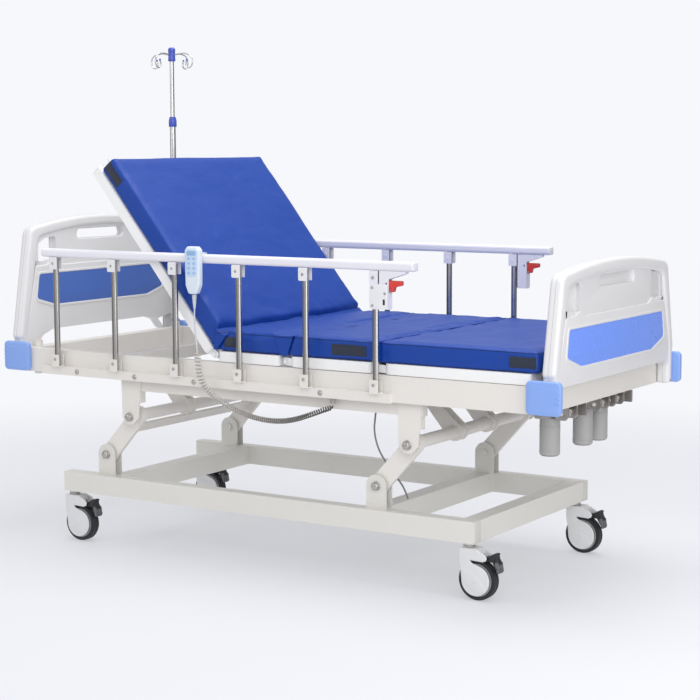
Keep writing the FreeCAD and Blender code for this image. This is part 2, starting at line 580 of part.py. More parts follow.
def handset():
    """The hand control hangs outside the near rail by its hook, its cord's strain relief below."""
    left = [(-225, 889), (-193, 889), (-181, 915), (-179, 1030)]
    right = [(-190, 1042), (-228, 1042), (-239, 1030), (-237, 915)]
    case = slab_xz(left + right, -494, -470)
    case = round_edges(case, 5, ACROSS)
    case = case.makeFillet(3, [e for e in case.Edges if e.BoundBox.YLength < 0.01])
    hook = box(-224, -194, -472, -430, 1016.5, 1020).fuse(box(-224, -194, -433.5, -430, 996, 1020))
    relief = Part.makeCone(3.5, 8, 47, V(-208, -482, 842))
    lead = [(-208, -482, 842), (-210, -482, 815), (-208, -482, 780), (-203, -482, 740), (-200, -482, 706)]
    save("handset", [case.fuse(hook).removeSplitter(), relief])
    save("handset_lead", [swept(lead, 2.5)])


CURLY = [
    (-200, -482, 705), (-196, -483, 670), (-190, -483, 630), (-178, -478, 596),
    (-150, -466, 565), (-111, -456, 540), (-66, -452, 520), (-21, -450, 507),
    (30, -449, 499), (79, -448, 498), (120, -448, 502), (160, -447, 511),
    (200, -442, 525), (240, -430, 541), (266, -418, 550), (275, -414, 556),
]
POWER = [
    (365, -300, 603), (364, -300, 570), (358, -299, 520), (350, -297, 469),
    (362, -290, 410), (384, -272, 362), (402, -240, 315), (412, -210, 275),
    (414, -195, 243),
]


def cords():
    """A curly cord is drawn as one tube of its outer diameter."""
    save("handset_curly_cord", [swept(CURLY, 13)])
    save("power_lead", [swept(POWER, 2.8)])


base_frame()
for place, (stem_x, stem_y) in STEMS.items():
    castor(place, stem_x, stem_y)
lift_frames()
actuators()
bed_frame()
corner_bumpers()
boards()
control_box()
lying_surface()
mattress()
side_guards()
iv_pole()
handset()
cords()
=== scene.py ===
"""Adjustable hospital bed: the look of every part, built round the bed's fixed frame."""

import math

import bmesh
import bpy
from bpy.props import FloatProperty, FloatVectorProperty, IntProperty, PointerProperty
from mathutils import Matrix, Vector, noise


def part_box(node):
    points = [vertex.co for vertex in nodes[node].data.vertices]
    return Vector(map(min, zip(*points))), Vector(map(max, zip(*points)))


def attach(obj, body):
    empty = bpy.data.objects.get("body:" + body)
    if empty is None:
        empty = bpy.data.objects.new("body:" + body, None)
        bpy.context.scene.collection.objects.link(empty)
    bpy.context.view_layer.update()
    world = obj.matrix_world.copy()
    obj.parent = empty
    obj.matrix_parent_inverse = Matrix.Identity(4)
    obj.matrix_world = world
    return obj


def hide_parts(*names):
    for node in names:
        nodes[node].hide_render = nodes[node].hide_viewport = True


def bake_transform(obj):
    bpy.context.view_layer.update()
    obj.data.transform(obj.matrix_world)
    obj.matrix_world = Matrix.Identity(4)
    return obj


bl_info = {
    "name": "Adjustable hospital bed",
    "version": (1, 0, 0),
    "blender": (4, 5, 0),
    "location": "View3D > Sidebar > Bed",
    "description": "Builds the covers, boards, guards, castors, drives and cords of a hospital bed",
    "category": "Object",
}

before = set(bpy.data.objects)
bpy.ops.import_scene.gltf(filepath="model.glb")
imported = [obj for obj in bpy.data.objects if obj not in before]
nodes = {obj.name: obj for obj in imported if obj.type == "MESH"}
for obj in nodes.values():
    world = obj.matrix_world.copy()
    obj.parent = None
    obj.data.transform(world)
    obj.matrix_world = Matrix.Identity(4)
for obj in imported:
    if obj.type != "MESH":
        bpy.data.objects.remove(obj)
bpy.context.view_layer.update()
MM = 0.001
SIDES = (("near", -1), ("far", 1))


def linear(code):
    """An sRGB hex colour as linear red, green, blue and alpha."""
    parts = [int(code[k : k + 2], 16) / 255 for k in (1, 3, 5)]
    return [c / 12.92 if c <= 0.04045 else ((c + 0.055) / 1.055) ** 2.4 for c in parts] + [1.0]


def colour(name, text, code):
    return FloatVectorProperty(
        name=name, description=text, subtype="COLOR", size=4, min=0, max=1, default=linear(code)
    )


def length(name, text, millimetres):
    return FloatProperty(name=name, description=text, unit="LENGTH", default=millimetres * MM, min=0)


# ---------------------------------------------------------------- settings
class SteelSettings(bpy.types.PropertyGroup):
    frame_paint: colour("Frame paint", "Powder coat of the upper frame and the lifts", "#E6E2DC")
    base_paint: colour("Base paint", "Powder coat of the base, a little yellower", "#DDDBD4")
    peel: length("Orange peel", "Width of the ripples in the powder coat", 2.4)
    bolt_flats: length("Bolt size", "Across the flats of the pivot bolts", 22)


class BoardSettings(bpy.types.PropertyGroup):
    shell: colour("Shell", "Moulded ABS of the end boards", "#E2E1E2")
    foot_panel: colour("Foot panel", "Coloured panel of the footboard", "#789DFB")
    head_panel: colour("Head panel", "Coloured panel of the headboard", "#4A6EBE")
    bumper: colour("Bumpers", "Corner bumpers", "#89AAEA")
    rim: length("Rim", "Width of the round rim of the end boards", 40)


class MattressSettings(bpy.types.PropertyGroup):
    cover: colour("Cover", "Coated cloth of the mattress", "#0A409E")
    strap: colour("Straps", "Elastic corner straps", "#1C283E")
    swell: length("Swell", "Most that the foam pushes its cover out", 5)
    thread: length("Thread spacing", "Distance between threads of the cover", 1.6)


class GuardSettings(bpy.types.PropertyGroup):
    rail: colour("Rail", "Coated aluminium of the hand rails", "#E9E8F0")
    lever: colour("Lever", "Latch levers", "#D63F37")
    rivet: length("Rivet", "Width of a rivet head", 8)


class CastorSettings(bpy.types.PropertyGroup):
    hood: colour("Hood", "Moulded castor hoods", "#DADADB")
    tread: colour("Tyre", "Rubber of the castor tyres", "#1F2023")
    spokes: IntProperty(name="Spokes", description="Ribs on each wheel's hub", default=9, min=3, max=24)


class AccessorySettings(bpy.types.PropertyGroup):
    motor: colour("Drives", "Plastic of the drive motors", "#A6A5A4")
    handset: colour("Handset", "Shell of the handset", "#DCE6F0")
    pole_head: colour("Pole head", "Plastic head and collar of the pole", "#4457B8")
    lead: colour("Leads", "Outer sheath of the handset's cord", "#D2CDC8")
    pitch: length("Coil pitch", "Distance between turns of the curly cord", 7.6)


class StageSettings(bpy.types.PropertyGroup):
    floor: colour("Floor", "Pale studio floor", "#F4F5FA")
    lamp: FloatProperty(name="Lamp power", description="Main soft light", unit="POWER", default=110, min=0)
    sky: FloatProperty(name="Sky", description="Strength of the soft light from all round", default=0.6, min=0)
    glow: FloatProperty(name="Floor glow", description="Light that the floor gives", default=0.42, min=0)


# ---------------------------------------------------------------- finishes
def add(tree, kind, links=None, **settings):
    """Adds a node with its settings. links gives an input its value or the output that feeds it."""
    made = tree.nodes.new(kind)
    for name, value in settings.items():
        setattr(made, name, value)
    for socket, value in (links or {}).items():
        if isinstance(value, bpy.types.NodeSocket):
            tree.links.new(value, made.inputs[socket])
        else:
            made.inputs[socket].default_value = value
    return made


def surface(name, tint, roughness, **sockets):
    """A new material with its shader's own sockets set. Returns material, tree, shader and object coordinates."""
    made = bpy.data.materials.new(name)
    made.use_nodes = True
    tree = made.node_tree
    shader = tree.nodes["Principled BSDF"]
    shader.inputs["Base Color"].default_value = tint
    shader.inputs["Roughness"].default_value = roughness
    for socket, value in sockets.items():
        shader.inputs[socket.replace("_", " ")].default_value = value
    made.diffuse_color = tint
    return made, tree, shader, add(tree, "ShaderNodeTexCoord").outputs["Object"]


def shade(tint, factor):
    return [c * factor for c in tint[:3]] + [1.0]


def mottled(tree, shader, where, tint, scale, low, high, darker):
    """Breaks up one colour and its gloss with a soft cloud, as handling and cleaning do."""
    cloud = add(tree, "ShaderNodeTexNoise", {"Vector": where, "Scale": scale, "Detail": 4.0, "Roughness": 0.6})
    mix = add(tree, "ShaderNodeMix", {0: cloud.outputs["Fac"], 6: shade(tint, darker), 7: tint}, data_type="RGBA")
    tree.links.new(mix.outputs[2], shader.inputs["Base Color"])
    gloss = add(tree, "ShaderNodeMapRange", {"Value": cloud.outputs["Fac"], "To Min": high, "To Max": low})
    tree.links.new(gloss.outputs["Result"], shader.inputs["Roughness"])
    return cloud


def powder_coat(name, tint, peel):
    """Polyester powder baked on steel: even colour, soft gloss and a fine orange peel."""
    made, tree, shader, where = surface(name, tint, 0.34, IOR=1.5)
    mottled(tree, shader, where, tint, 5.0, 0.28, 0.42, 0.93)
    ripple = add(tree, "ShaderNodeTexNoise", {"Vector": where, "Scale": 1 / peel, "Detail": 2.0})
    bump = add(tree, "ShaderNodeBump", {"Height": ripple.outputs["Fac"], "Strength": 0.25, "Distance": 0.0004})
    tree.links.new(bump.outputs["Normal"], shader.inputs["Normal"])
    return made


def moulded_abs(name, tint, roughness=0.32, grain=1.2, parting=None):
    """Injection-moulded ABS: spark-eroded grain, faint flow marks, and a parting line where the tool closed."""
    made, tree, shader, where = surface(name, tint, roughness, IOR=1.53)
    mottled(tree, shader, where, tint, 7.0, roughness - 0.06, roughness + 0.1, 0.94)
    spark = add(tree, "ShaderNodeTexNoise", {"Vector": where, "Scale": 1 / (grain * MM), "Detail": 3.0})
    if parting:
        along = add(tree, "ShaderNodeSeparateXYZ", {0: where}).outputs[0]
        size = add(tree, "ShaderNodeMath", {0: along}, operation="ABSOLUTE").outputs[0]
        line = add(tree, "ShaderNodeMath", {0: size, 1: parting, 2: 0.0007}, operation="COMPARE").outputs[0]
        base = shader.inputs["Base Color"].links[0].from_socket
        dark = add(tree, "ShaderNodeMix", {0: line, 6: base, 7: shade(tint, 0.6)}, data_type="RGBA")
        tree.links.new(dark.outputs[2], shader.inputs["Base Color"])
    bump = add(tree, "ShaderNodeBump", {"Height": spark.outputs["Fac"], "Strength": 0.2, "Distance": 0.0003})
    tree.links.new(bump.outputs["Normal"], shader.inputs["Normal"])
    return made


def drawn_stainless(name, tint="#C2C2C0", streak=(900.0, 900.0, 14.0), roughness=0.24):
    """Stainless tube polished lengthways: fine long streaks that stretch each highlight."""
    made, tree, shader, where = surface(name, linear(tint), roughness, Metallic=1.0)
    grain = add(tree, "ShaderNodeMapping", {"Vector": where, "Scale": streak})
    streaks = add(tree, "ShaderNodeTexNoise", {"Vector": grain.outputs[0], "Scale": 1.0, "Detail": 3.0})
    fine = streaks.outputs["Fac"]
    gloss = add(tree, "ShaderNodeMapRange",
                {"Value": fine, "To Min": roughness - 0.05, "To Max": roughness + 0.06})
    tree.links.new(gloss.outputs["Result"], shader.inputs["Roughness"])
    mix = add(tree, "ShaderNodeMix", {0: fine, 6: shade(linear(tint), 0.86), 7: linear(tint)}, data_type="RGBA")
    tree.links.new(mix.outputs[2], shader.inputs["Base Color"])
    bump = add(tree, "ShaderNodeBump", {"Height": fine, "Strength": 0.05, "Distance": 0.0001})
    tree.links.new(bump.outputs["Normal"], shader.inputs["Normal"])
    return made


def coated_nylon(name, tint, thread, tilt=0.0, seams=()):
    """Polyurethane-coated nylon: a fine plain weave under a satin film, with stitched seams."""
    made, tree, shader, where = surface(name, tint, 0.44, IOR=1.46, Specular_IOR_Level=0.42)
    along = add(tree, "ShaderNodeMapping", {"Vector": where, "Rotation": (0.0, tilt, 0.0)}).outputs[0]
    mottled(tree, shader, along, tint, 9.0, 0.42, 0.56, 0.86)
    threads = []
    for way in ("X", "Y"):
        wave = {"Vector": along, "Scale": 0.314 / thread, "Distortion": 0.4}
        threads.append(add(tree, "ShaderNodeTexWave", wave, bands_direction=way).outputs["Fac"])
    weave = add(tree, "ShaderNodeMath", {0: threads[0], 1: threads[1]}, operation="MULTIPLY").outputs[0]
    pull = {"Vector": along, "Scale": (9.0, 4.0, 6.0), "Rotation": (0.0, 0.0, 0.5)}
    pulled = add(tree, "ShaderNodeMapping", pull).outputs[0]
    crease = add(tree, "ShaderNodeTexNoise", {"Vector": pulled, "Scale": 1.0, "Detail": 3.0, "Distortion": 0.6})
    fine = add(tree, "ShaderNodeBump", {"Height": weave, "Strength": 0.25, "Distance": 0.0006}).outputs["Normal"]
    soft = add(tree, "ShaderNodeBump",
               {"Height": crease.outputs["Fac"], "Normal": fine, "Strength": 0.5, "Distance": 0.012})
    tree.links.new(soft.outputs["Normal"], shader.inputs["Normal"])
    split = add(tree, "ShaderNodeSeparateXYZ", {0: along})
    base = shader.inputs["Base Color"].links[0].from_socket
    for axis, value in seams:
        line = add(tree, "ShaderNodeMath", {0: split.outputs[axis], 1: value, 2: 0.0012}, operation="COMPARE")
        dark = {0: line.outputs[0], 6: base, 7: shade(tint, 0.25)}
        base = add(tree, "ShaderNodeMix", dark, data_type="RGBA").outputs[2]
    tree.links.new(base, shader.inputs["Base Color"])
    return made


def webbing(name, tint):
    """Woven elastic: matt, with ribs across its width."""
    made, tree, shader, where = surface(name, tint, 0.8, Sheen_Weight=0.3)
    ribs = add(tree, "ShaderNodeTexWave", {"Vector": where, "Scale": 110.0, "Distortion": 0.6}, bands_direction="X")
    mix = add(tree, "ShaderNodeMix", {0: ribs.outputs["Fac"], 6: shade(tint, 0.6), 7: tint}, data_type="RGBA")
    tree.links.new(mix.outputs[2], shader.inputs["Base Color"])
    bump = add(tree, "ShaderNodeBump", {"Height": ribs.outputs["Fac"], "Strength": 0.5, "Distance": 0.001})
    tree.links.new(bump.outputs["Normal"], shader.inputs["Normal"])
    return made


def rubber(name, tint, roughness=0.6):
    """Moulded rubber or soft PVC: matt, with dust in its fine grain."""
    made, tree, shader, where = surface(name, tint, roughness, IOR=1.52)
    dust = mottled(tree, shader, where, tint, 60.0, roughness - 0.08, roughness + 0.12, 0.75)
    bump = add(tree, "ShaderNodeBump", {"Height": dust.outputs["Fac"], "Strength": 0.15, "Distance": 0.0005})
    tree.links.new(bump.outputs["Normal"], shader.inputs["Normal"])
    return made


def zinc_plate(name, tint="#CFCDC9"):
    """Bright zinc on small steel parts: a cloudy metal, duller and darker in soft random patches."""
    made, tree, shader, where = surface(name, linear(tint), 0.35, Metallic=1.0)
    mottled(tree, shader, where, linear(tint), 90.0, 0.25, 0.5, 0.7)
    return made


# ---------------------------------------------------------------- mesh tools
def link(piece):
    bpy.context.scene.collection.objects.link(piece)
    return piece


def plain(piece):
    """Turns a piece with modifiers, or a curve, into a plain mesh piece of the same name."""
    bpy.context.view_layer.update()
    source = piece.evaluated_get(bpy.context.evaluated_depsgraph_get())
    mesh = bpy.data.meshes.new_from_object(source)
    name, place = piece.name, piece.matrix_world.copy()
    bpy.data.objects.remove(piece)
    mesh.transform(place)
    return link(bpy.data.objects.new(name, mesh))


def tidy(piece, angle=35, outward=True):
    """Merges doubles, points the faces outwards and smooths all but the sharp edges."""
    shape = bmesh.new()
    shape.from_mesh(piece.data)
    bmesh.ops.remove_doubles(shape, verts=shape.verts, dist=1e-5)
    if outward:
        bmesh.ops.recalc_face_normals(shape, faces=shape.faces)
    shape.to_mesh(piece.data)
    shape.free()
    piece.data.shade_smooth()
    piece.data.set_sharp_from_angle(angle=math.radians(angle))
    return piece


def coat(piece, finish):
    piece.data.materials.clear()
    piece.data.materials.append(finish)
    return piece


def settle(piece, body, stands_for=None):
    """Hides the part of the frame that a piece stands for, and sets the piece on the body that it rides on."""
    if stands_for:
        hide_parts(stands_for)
    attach(piece, body)


def between(side, inner, outer):
    """Two distances from the middle as low and high Y on one side of the bed."""
    return sorted((side * inner, side * outer))


def shifted(points, x):
    """The same outline further along X."""
    return [(x + p[0], *p[1:]) for p in points]


def circle(x, z, radius, count):
    """A round outline."""
    turns = [math.tau * k / count for k in range(count)]
    return [(x + radius * math.cos(a), z + radius * math.sin(a)) for a in turns]


def ended(name, shape):
    """A new piece from a finished bmesh."""
    mesh = bpy.data.meshes.new(name)
    shape.to_mesh(mesh)
    shape.free()
    return link(bpy.data.objects.new(name, mesh))


def joined(name, pieces):
    """Several plain meshes as one, each keeping its own material."""
    bpy.ops.object.select_all(action="DESELECT")
    for piece in pieces:
        piece.select_set(True)
    bpy.context.view_layer.objects.active = pieces[0]
    if len(pieces) > 1:
        bpy.ops.object.join()
    pieces[0].name = name
    return pieces[0]


def rounded(corners, radius):
    """A closed outline in millimetres with its corners rounded. A corner may carry its own radius third."""
    result = []
    for k, corner in enumerate(corners):
        here = Vector(corner[:2])
        before, after = Vector(corners[k - 1][:2]) - here, Vector(corners[(k + 1) % len(corners)][:2]) - here
        r = corner[2] if len(corner) > 2 else radius
        half = before.angle(after) / 2
        if r == 0 or half > 1.5:
            result.append(tuple(here))
            continue
        cut = min(r / math.tan(half), before.length * 0.49, after.length * 0.49)
        r = cut * math.tan(half)
        middle = here + (before.normalized() + after.normalized()).normalized() * (r / math.sin(half))
        start, end = here + before.normalized() * cut - middle, here + after.normalized() * cut - middle
        turn = start.angle_signed(end)
        for step in range(9):
            arm = start.copy()
            arm.rotate(Matrix.Rotation(-turn * step / 8, 2))
            result.append(tuple(middle + arm))
    return result


def plate(name, loops, low, high, bevel, axis="Y", rings=4):
    """A flat part cut from closed outlines, the first its edge and the rest its holes. All in millimetres.
    low and high are its faces along the axis; the outline is drawn in X-Z, Y-Z or X-Y."""
    curve = bpy.data.curves.new(name, "CURVE")
    curve.dimensions = "2D"
    curve.fill_mode = "BOTH"
    for loop in loops:
        line = curve.splines.new("POLY")
        line.points.add(len(loop) - 1)
        for point, (u, v) in zip(line.points, loop):
            point.co = (u * MM, v * MM, 0, 1)
        line.use_cyclic_u = True
    curve.bevel_depth = bevel * MM
    curve.offset = -bevel * MM
    curve.bevel_resolution = rings
    curve.extrude = (high - low) / 2 * MM - bevel * MM
    piece = plain(link(bpy.data.objects.new(name, curve)))
    middle = (low + high) / 2 * MM
    turns = {
        "X": Matrix(((0, 0, 1, middle), (1, 0, 0, 0), (0, 1, 0, 0), (0, 0, 0, 1))),
        "Y": Matrix(((1, 0, 0, 0), (0, 0, -1, middle), (0, 1, 0, 0), (0, 0, 0, 1))),
        "Z": Matrix.Translation((0, 0, middle)),
    }
    piece.data.transform(turns[axis])
    return tidy(piece)


def block(name, low, high, radius, segments=3):
    """A box with rounded edges, from corner to corner in millimetres."""
    shape = bmesh.new()
    bmesh.ops.create_cube(shape, size=1)
    for vertex in shape.verts:
        vertex.co = [(a + b) / 2 * MM + c * (b - a) * MM for a, b, c in zip(low, high, vertex.co)]
    bmesh.ops.bevel(shape, geom=shape.edges[:], offset=radius * MM, segments=segments, profile=0.5, affect="EDGES")
    return tidy(ended(name, shape))


def turned(name, profile, centre, axis="Z", steps=40):
    """A part turned on a lathe: profile is (radius, distance along the axis) in millimetres."""
    shape = bmesh.new()
    line = [shape.verts.new((r * MM, 0, along * MM)) for r, along in profile]
    edges = [shape.edges.new(pair) for pair in zip(line, line[1:])]
    bmesh.ops.spin(shape, geom=line + edges, axis=(0, 0, 1), cent=(0, 0, 0), steps=steps, angle=math.tau)
    bmesh.ops.remove_doubles(shape, verts=shape.verts, dist=1e-6)
    bmesh.ops.recalc_face_normals(shape, faces=shape.faces)
    piece = ended(name, shape)
    if axis == "Y":
        piece.data.transform(Matrix.Rotation(math.radians(-90), 4, "X"))
    piece.data.transform(Matrix.Translation(Vector(centre) * MM))
    return tidy(piece)


def route(name, points):
    """A NURBS curve with given control points, in metres."""
    curve = bpy.data.curves.new(name, "CURVE")
    curve.dimensions = "3D"
    line = curve.splines.new("NURBS")
    line.points.add(len(points) - 1)
    for point, place in zip(line.points, points):
        point.co = (*place, 1)
    line.order_u = 3
    line.use_endpoint_u = True
    curve.resolution_u = 16
    return link(bpy.data.objects.new(name, curve))


def followed(name, points):
    """Points read from a route's NURBS spline."""
    line = plain(route(name, points))
    places = [v.co.copy() for v in line.data.vertices]
    bpy.data.objects.remove(line)
    return places


def wire(name, points, diameter):
    """A round wire or tube along a NURBS route, as a closed mesh. Points are in millimetres."""
    piece = route(name, [[c * MM for c in p] for p in points])
    piece.data.bevel_depth = diameter / 2 * MM
    piece.data.bevel_resolution = 4
    piece.data.use_fill_caps = True
    return tidy(plain(piece), 60)


def sleeve(name, centres, radius, sides):
    """A closed tube round a list of close points, with its rings carried along without twist."""
    shape = bmesh.new()
    rings = []
    across = Vector((0, 1, 0))
    for k, centre in enumerate(centres):
        ahead = (centres[min(k + 1, len(centres) - 1)] - centres[max(k - 1, 0)]).normalized()
        across = (across - ahead * across.dot(ahead)).normalized()
        up = ahead.cross(across)
        ring = []
        for side in range(sides):
            angle = math.tau * side / sides
            ring.append(shape.verts.new(centre + (across * math.cos(angle) + up * math.sin(angle)) * radius))
        rings.append(ring)
    for one, two in zip(rings, rings[1:]):
        for side in range(sides):
            shape.faces.new((one[side], one[(side + 1) % sides], two[(side + 1) % sides], two[side]))
    shape.faces.new(rings[0][::-1])
    shape.faces.new(rings[-1])
    return tidy(ended(name, shape), 60)


# ---------------------------------------------------------------- geometry node trees
def new_tree(name, inputs):
    """A geometry tree with a geometry input, named inputs and one output. Returns tree, input and output nodes."""
    tree = bpy.data.node_groups.new(name, "GeometryNodeTree")
    tree.interface.new_socket("Geometry", in_out="INPUT", socket_type="NodeSocketGeometry")
    for title, kind in inputs.items():
        tree.interface.new_socket(title, in_out="INPUT", socket_type=kind)
    tree.interface.new_socket("Geometry", in_out="OUTPUT", socket_type="NodeSocketGeometry")
    return tree, add(tree, "NodeGroupInput"), add(tree, "NodeGroupOutput")


def sown_tree(name, inputs, shape):
    """A tree that sets one part on every point, turned to the point's outward direction."""
    tree, given, out = new_tree(name, {**inputs, "Finish": "NodeSocketMaterial"})
    part = shape(tree, given.outputs)
    outward = add(tree, "GeometryNodeInputNamedAttribute", {"Name": "outward"}, data_type="FLOAT_VECTOR")
    turn = add(tree, "FunctionNodeAlignRotationToVector", {"Vector": outward.outputs[0]}, axis="Z")
    points = add(tree, "GeometryNodeMeshToPoints", {"Mesh": given.outputs["Geometry"]})
    sown = add(tree, "GeometryNodeInstanceOnPoints",
               {"Points": points.outputs[0], "Instance": part, "Rotation": turn.outputs[0]})
    real = add(tree, "GeometryNodeRealizeInstances", {0: sown.outputs[0]})
    done = add(tree, "GeometryNodeSetMaterial", {"Geometry": real.outputs[0], "Material": given.outputs["Finish"]})
    tree.links.new(done.outputs[0], out.inputs[0])
    return tree


def hex_bolt(tree, given):
    """A washer and a six-sided head with a domed top."""
    flats = given["Across flats"]
    washer = add(tree, "GeometryNodeMeshCylinder", {"Vertices": 28, "Depth": 0.003})
    wide = add(tree, "ShaderNodeMath", {0: flats, 1: 0.62}, operation="MULTIPLY").outputs[0]
    tree.links.new(wide, washer.inputs["Radius"])
    head = add(tree, "GeometryNodeMeshCylinder", {"Vertices": 6, "Depth": given["Height"]})
    narrow = add(tree, "ShaderNodeMath", {0: flats, 1: 0.577}, operation="MULTIPLY").outputs[0]
    tree.links.new(narrow, head.inputs["Radius"])
    dome = add(tree, "GeometryNodeMeshUVSphere", {"Segments": 20, "Rings": 10})
    small = add(tree, "ShaderNodeMath", {0: flats, 1: 0.42}, operation="MULTIPLY").outputs[0]
    tree.links.new(small, dome.inputs["Radius"])
    half = add(tree, "ShaderNodeMath", {0: given["Height"], 1: 0.5}, operation="MULTIPLY").outputs[0]
    lift = add(tree, "ShaderNodeCombineXYZ", {2: half})
    raised = add(tree, "GeometryNodeTransform", {"Geometry": head.outputs[0], "Translation": lift.outputs[0]})
    top = add(tree, "ShaderNodeCombineXYZ", {2: given["Height"]})
    cap = add(tree, "GeometryNodeTransform",
              {"Geometry": dome.outputs[0], "Translation": top.outputs[0], "Scale": (1.0, 1.0, 0.3)})
    both = add(tree, "GeometryNodeJoinGeometry")
    for part in (washer, raised, cap):
        tree.links.new(part.outputs[0], both.inputs[0])
    return both.outputs[0]


def rivet_head(tree, given):
    """A low dome on a thin flange."""
    dome = add(tree, "GeometryNodeMeshUVSphere", {"Segments": 20, "Rings": 10, "Radius": given["Radius"]})
    flat = add(tree, "GeometryNodeTransform", {"Geometry": dome.outputs[0], "Scale": (1.0, 1.0, 0.42)})
    flange = add(tree, "GeometryNodeMeshCylinder", {"Vertices": 24, "Depth": 0.0012})
    wide = add(tree, "ShaderNodeMath", {0: given["Radius"], 1: 1.25}, operation="MULTIPLY").outputs[0]
    tree.links.new(wide, flange.inputs["Radius"])
    both = add(tree, "GeometryNodeJoinGeometry")
    for part in (flat, flange):
        tree.links.new(part.outputs[0], both.inputs[0])
    return both.outputs[0]


def raised_key(tree, given):
    """A round-edged key that stands a little out of a membrane."""
    body = add(tree, "GeometryNodeMeshUVSphere", {"Segments": 20, "Rings": 10, "Radius": given["Radius"]})
    return add(tree, "GeometryNodeTransform", {"Geometry": body.outputs[0], "Scale": (1.0, 0.72, 0.2)}).outputs[0]


def hub_rib(tree, given):
    """A thin rib that lies across its outward direction."""
    size = add(tree, "ShaderNodeCombineXYZ", {0: 0.003, 1: 0.004, 2: given["Length"]})
    return add(tree, "GeometryNodeMeshCube", {"Size": size.outputs[0]}).outputs[0]


def stitch_tree():
    """Short thread loops set end to end along every edge of the input."""
    kinds = {"Stitch": "NodeSocketFloat", "Thread": "NodeSocketFloat", "Finish": "NodeSocketMaterial"}
    tree, given, out = new_tree("Stitches", kinds)
    path = add(tree, "GeometryNodeMeshToCurve", {"Mesh": given.outputs["Geometry"]})
    spacing = {"Curve": path.outputs[0], "Length": given.outputs["Stitch"]}
    spaced = add(tree, "GeometryNodeResampleCurve", spacing, mode="LENGTH")
    thread = add(tree, "GeometryNodeMeshCylinder", {"Vertices": 6, "Radius": given.outputs["Thread"]})
    gap = add(tree, "ShaderNodeMath", {0: given.outputs["Stitch"], 1: 0.7}, operation="MULTIPLY").outputs[0]
    tree.links.new(gap, thread.inputs["Depth"])
    way = add(tree, "GeometryNodeInputTangent")
    turn = add(tree, "FunctionNodeAlignRotationToVector", {"Vector": way.outputs[0]}, axis="Z")
    sown = add(tree, "GeometryNodeInstanceOnPoints",
               {"Points": spaced.outputs[0], "Instance": thread.outputs[0], "Rotation": turn.outputs[0]})
    real = add(tree, "GeometryNodeRealizeInstances", {0: sown.outputs[0]})
    done = add(tree, "GeometryNodeSetMaterial", {"Geometry": real.outputs[0], "Material": given.outputs["Finish"]})
    tree.links.new(done.outputs[0], out.inputs[0])
    return tree


def grown(name, tree, points, outward=None, edges=(), **values):
    """Runs a tree on points in millimetres, and returns the result as a plain mesh."""
    mesh = bpy.data.meshes.new(name)
    mesh.from_pydata([[c * MM for c in p] for p in points], list(edges), [])
    if outward:
        way = mesh.attributes.new("outward", "FLOAT_VECTOR", "POINT")
        for item, direction in zip(way.data, outward):
            item.vector = direction
    piece = link(bpy.data.objects.new(name, mesh))
    step = piece.modifiers.new("grow", "NODES")
    step.node_group = tree
    for socket in tree.interface.items_tree:
        title = socket.name.replace(" ", "_")
        if socket.in_out == "INPUT" and title in values:
            step[socket.identifier] = values[title]
    return tidy(plain(piece), 40)


TREES = {}


def tree_for(name):
    """The shared trees, each built once."""
    if not TREES:
        number = "NodeSocketFloat"
        TREES["bolt"] = sown_tree("Pivot bolts", {"Across flats": number, "Height": number}, hex_bolt)
        TREES["rivet"] = sown_tree("Rivets", {"Radius": number}, rivet_head)
        TREES["key"] = sown_tree("Keys", {"Radius": number}, raised_key)
        TREES["rib"] = sown_tree("Hub ribs", {"Length": number}, hub_rib)
        TREES["stitch"] = stitch_tree()
    return TREES[name]


def studded(name, kind, heads, finish, **values):
    """One small part on every head, where a head is a place in millimetres and an outward direction."""
    places, ways = zip(*heads)
    return coat(grown(name, tree_for(kind), places, ways, Finish=finish, **values), finish)


def repaint(finish, *names):
    """Puts a finish on the frame's own parts."""
    for name in names:
        for spot in nodes[name].material_slots:
            spot.material = finish


def mirrored(points):
    return [(-p[0], *p[1:]) for p in points[::-1]]


# ---------------------------------------------------------------- steelwork
BASE_PIVOTS = ((404, 311), (-681, 311))
FRAME_PIVOTS = ((535, 455), (-550, 455))
BASE_ENDS = ((-852, -1), (762, 1))
BASE_LOW, BASE_HIGH = 176, 239
BRACKET_FEET = ((-667, -605), (365, 425))
BRACKET_FACE = 352
CHANNEL_SCREWS = (-742, -492, -245, 246)


